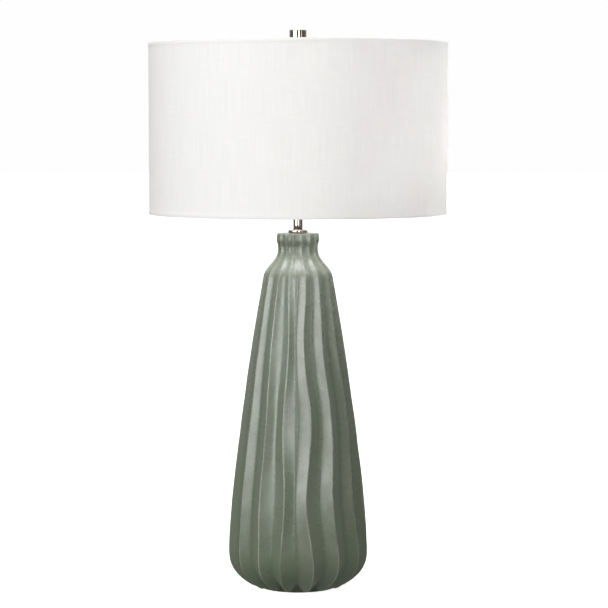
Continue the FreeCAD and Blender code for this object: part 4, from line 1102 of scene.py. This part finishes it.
ivory_nylon = make_moulded("ivory_nylon", "#DDD8CB", "#D2CCBD", 0.42)
BUSHING_BORE, BUSHING_RADIUS, FLANGE_RADIUS = 3.75 * MM, 5.4 * MM, 8.0 * MM
start, end = grommet_low[1], grommet_high[1]
seat = end - FLANGE_THICKNESS
bushing = turned("cord_grommet_turned",
                 rounded([(BUSHING_BORE, start), (BUSHING_RADIUS, start), (BUSHING_RADIUS, seat),
                          (FLANGE_RADIUS, seat), (FLANGE_RADIUS, end), (BUSHING_BORE, end)],
                         0.6 * MM), ivory_nylon, 64)
bushing.data.transform(Matrix.Translation((0, 0, inlet_z)) @ Matrix.Rotation(-math.pi / 2, 4, "X"))
place_piece(bushing, "cord_grommet", "base")

# %% [markdown]
# ## Finishes for the pieces that stay as they are
# The other CAD pieces already have the right shape, so they only get a finish. Their meshes
# are loose triangles, which would shade as facets; a short tree merges them and shades
# everything smooth except edges sharper than thirty degrees, without touching the mesh itself.

# %% Smooth shading for carried-over pieces
shading_tree, given, result = new_tree(
    "even_shading", {"Geometry": "Geometry", "Crease angle": 0.52})
joined = add(shading_tree, "GeometryNodeMergeByDistance",
             {"Geometry": given["Geometry"], "Distance": 0.000002}).outputs[0]
soft = add(shading_tree, "GeometryNodeSetShadeSmooth", {0: joined}).outputs[0]
bend = add(shading_tree, "GeometryNodeInputMeshEdgeAngle").outputs[0]
sharp = maths("GREATER_THAN", bend, given["Crease angle"])
crisp = add(shading_tree, "GeometryNodeSetShadeSmooth",
            {0: soft, "Selection": sharp, "Shade Smooth": False}, domain="EDGE").outputs[0]
shading_tree.links.new(crisp, result["Geometry"])


# %% [markdown]
# Felt is pressed wool: no weave, only a short tangle of fibres, so it is very rough and
# slightly uneven in tone. The card sleeve in the lamp holder is grey pressboard. The liner of
# the shade is white styrene sheet, rolled smooth, with a faint gloss and a little light
# passing through it. The wire rings are dipped in white enamel.

# %% Felt, card, styrene, enamel and the rest
def make_threaded_steel():
    """Zinc plated rod: its fine thread is only a ripple along Z, because nothing shows it."""
    material, tree, shader = new_material("threaded_steel", Metallic=1.0, Roughness=0.4)
    clouds = object_noise(tree, 0.006, 2.0)
    turns = maths("SINE", times(split(object_place(tree))[2], 2 * math.pi / FINE_PITCH))
    wear(tree, shader, tinted(clouds, "#C2C4C4", "#A5A8A9"), None, turns, 0.3 * MM, 0.9)
    return material


felt = make_grainy("pressed_wool_felt", "#3C4038", "#5A5F54", 0.8 * MM, 4.0, 0.4 * MM, 0.8,
                   (1.0, 1.0, 2.0), Roughness=0.95, **{"Sheen Weight": 0.4})
rubber = make_moulded("black_rubber", "#26272A", "#303134", 0.7, 0.0004)
card = make_grainy("grey_pressboard", "#8A8880", "#A09E95", 1.0 * MM, 3.0, 0.06 * MM, 0.6,
                   Roughness=0.8)
styrene = make_grainy("white_styrene_sheet", "#EFEEEA", "#F6F5F2", 60 * MM, 1.0, 0.4 * MM, 0.3,
                      (1.0, 1.0, 0.2), Roughness=0.38, IOR=1.55,
                      **{"Transmission Weight": 0.05})
rod_steel = make_threaded_steel()
enamel = make_moulded("white_wire_enamel", "#F2F1EE", "#E9E8E4", 0.3, 0.001)
key_plastic = make_moulded("black_phenolic", "#1E1C1B", "#2A2725", 0.35)
switch_plastic = make_moulded("brown_phenolic", "#3A2C22", "#46362A", 0.45)
black_glass = make_moulded("black_vitrite", "#141318", "#1E1C22", 0.12, 0.002)

finishes = {
    "base_felt": felt, "foot_gasket": rubber, "cap_gasket": rubber, "foot_washer": zinc,
    "lock_washer": zinc, "foot_nut": zinc, "threaded_rod": rod_steel, "harp_saddle": nickel_wire,
    "saddle_nut": nickel_wire, "harp_bow": nickel_wire, "socket_cap": nickel_wire,
    "cap_set_screw": nickel_wire, "socket_shell": nickel_wire, "insulating_sleeve": card,
    "socket_interior": switch_plastic, "centre_contact": brass, "terminal_screws": brass,
    "switch_key": key_plastic, "bulb_insulator": black_glass, "bulb_contact": brass,
    "shade_liner": styrene, "spider_ring": enamel, "shade_bottom_ring": enamel}
for node, finish in finishes.items():
    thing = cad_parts[node]
    for place in thing.material_slots:
        place.material = finish
    if not thing.material_slots:
        thing.data.materials.append(finish)
    modifier = thing.modifiers.new("even_shading", "NODES")
    modifier.node_group = shading_tree
print("carried over with a finish:", len(finishes))
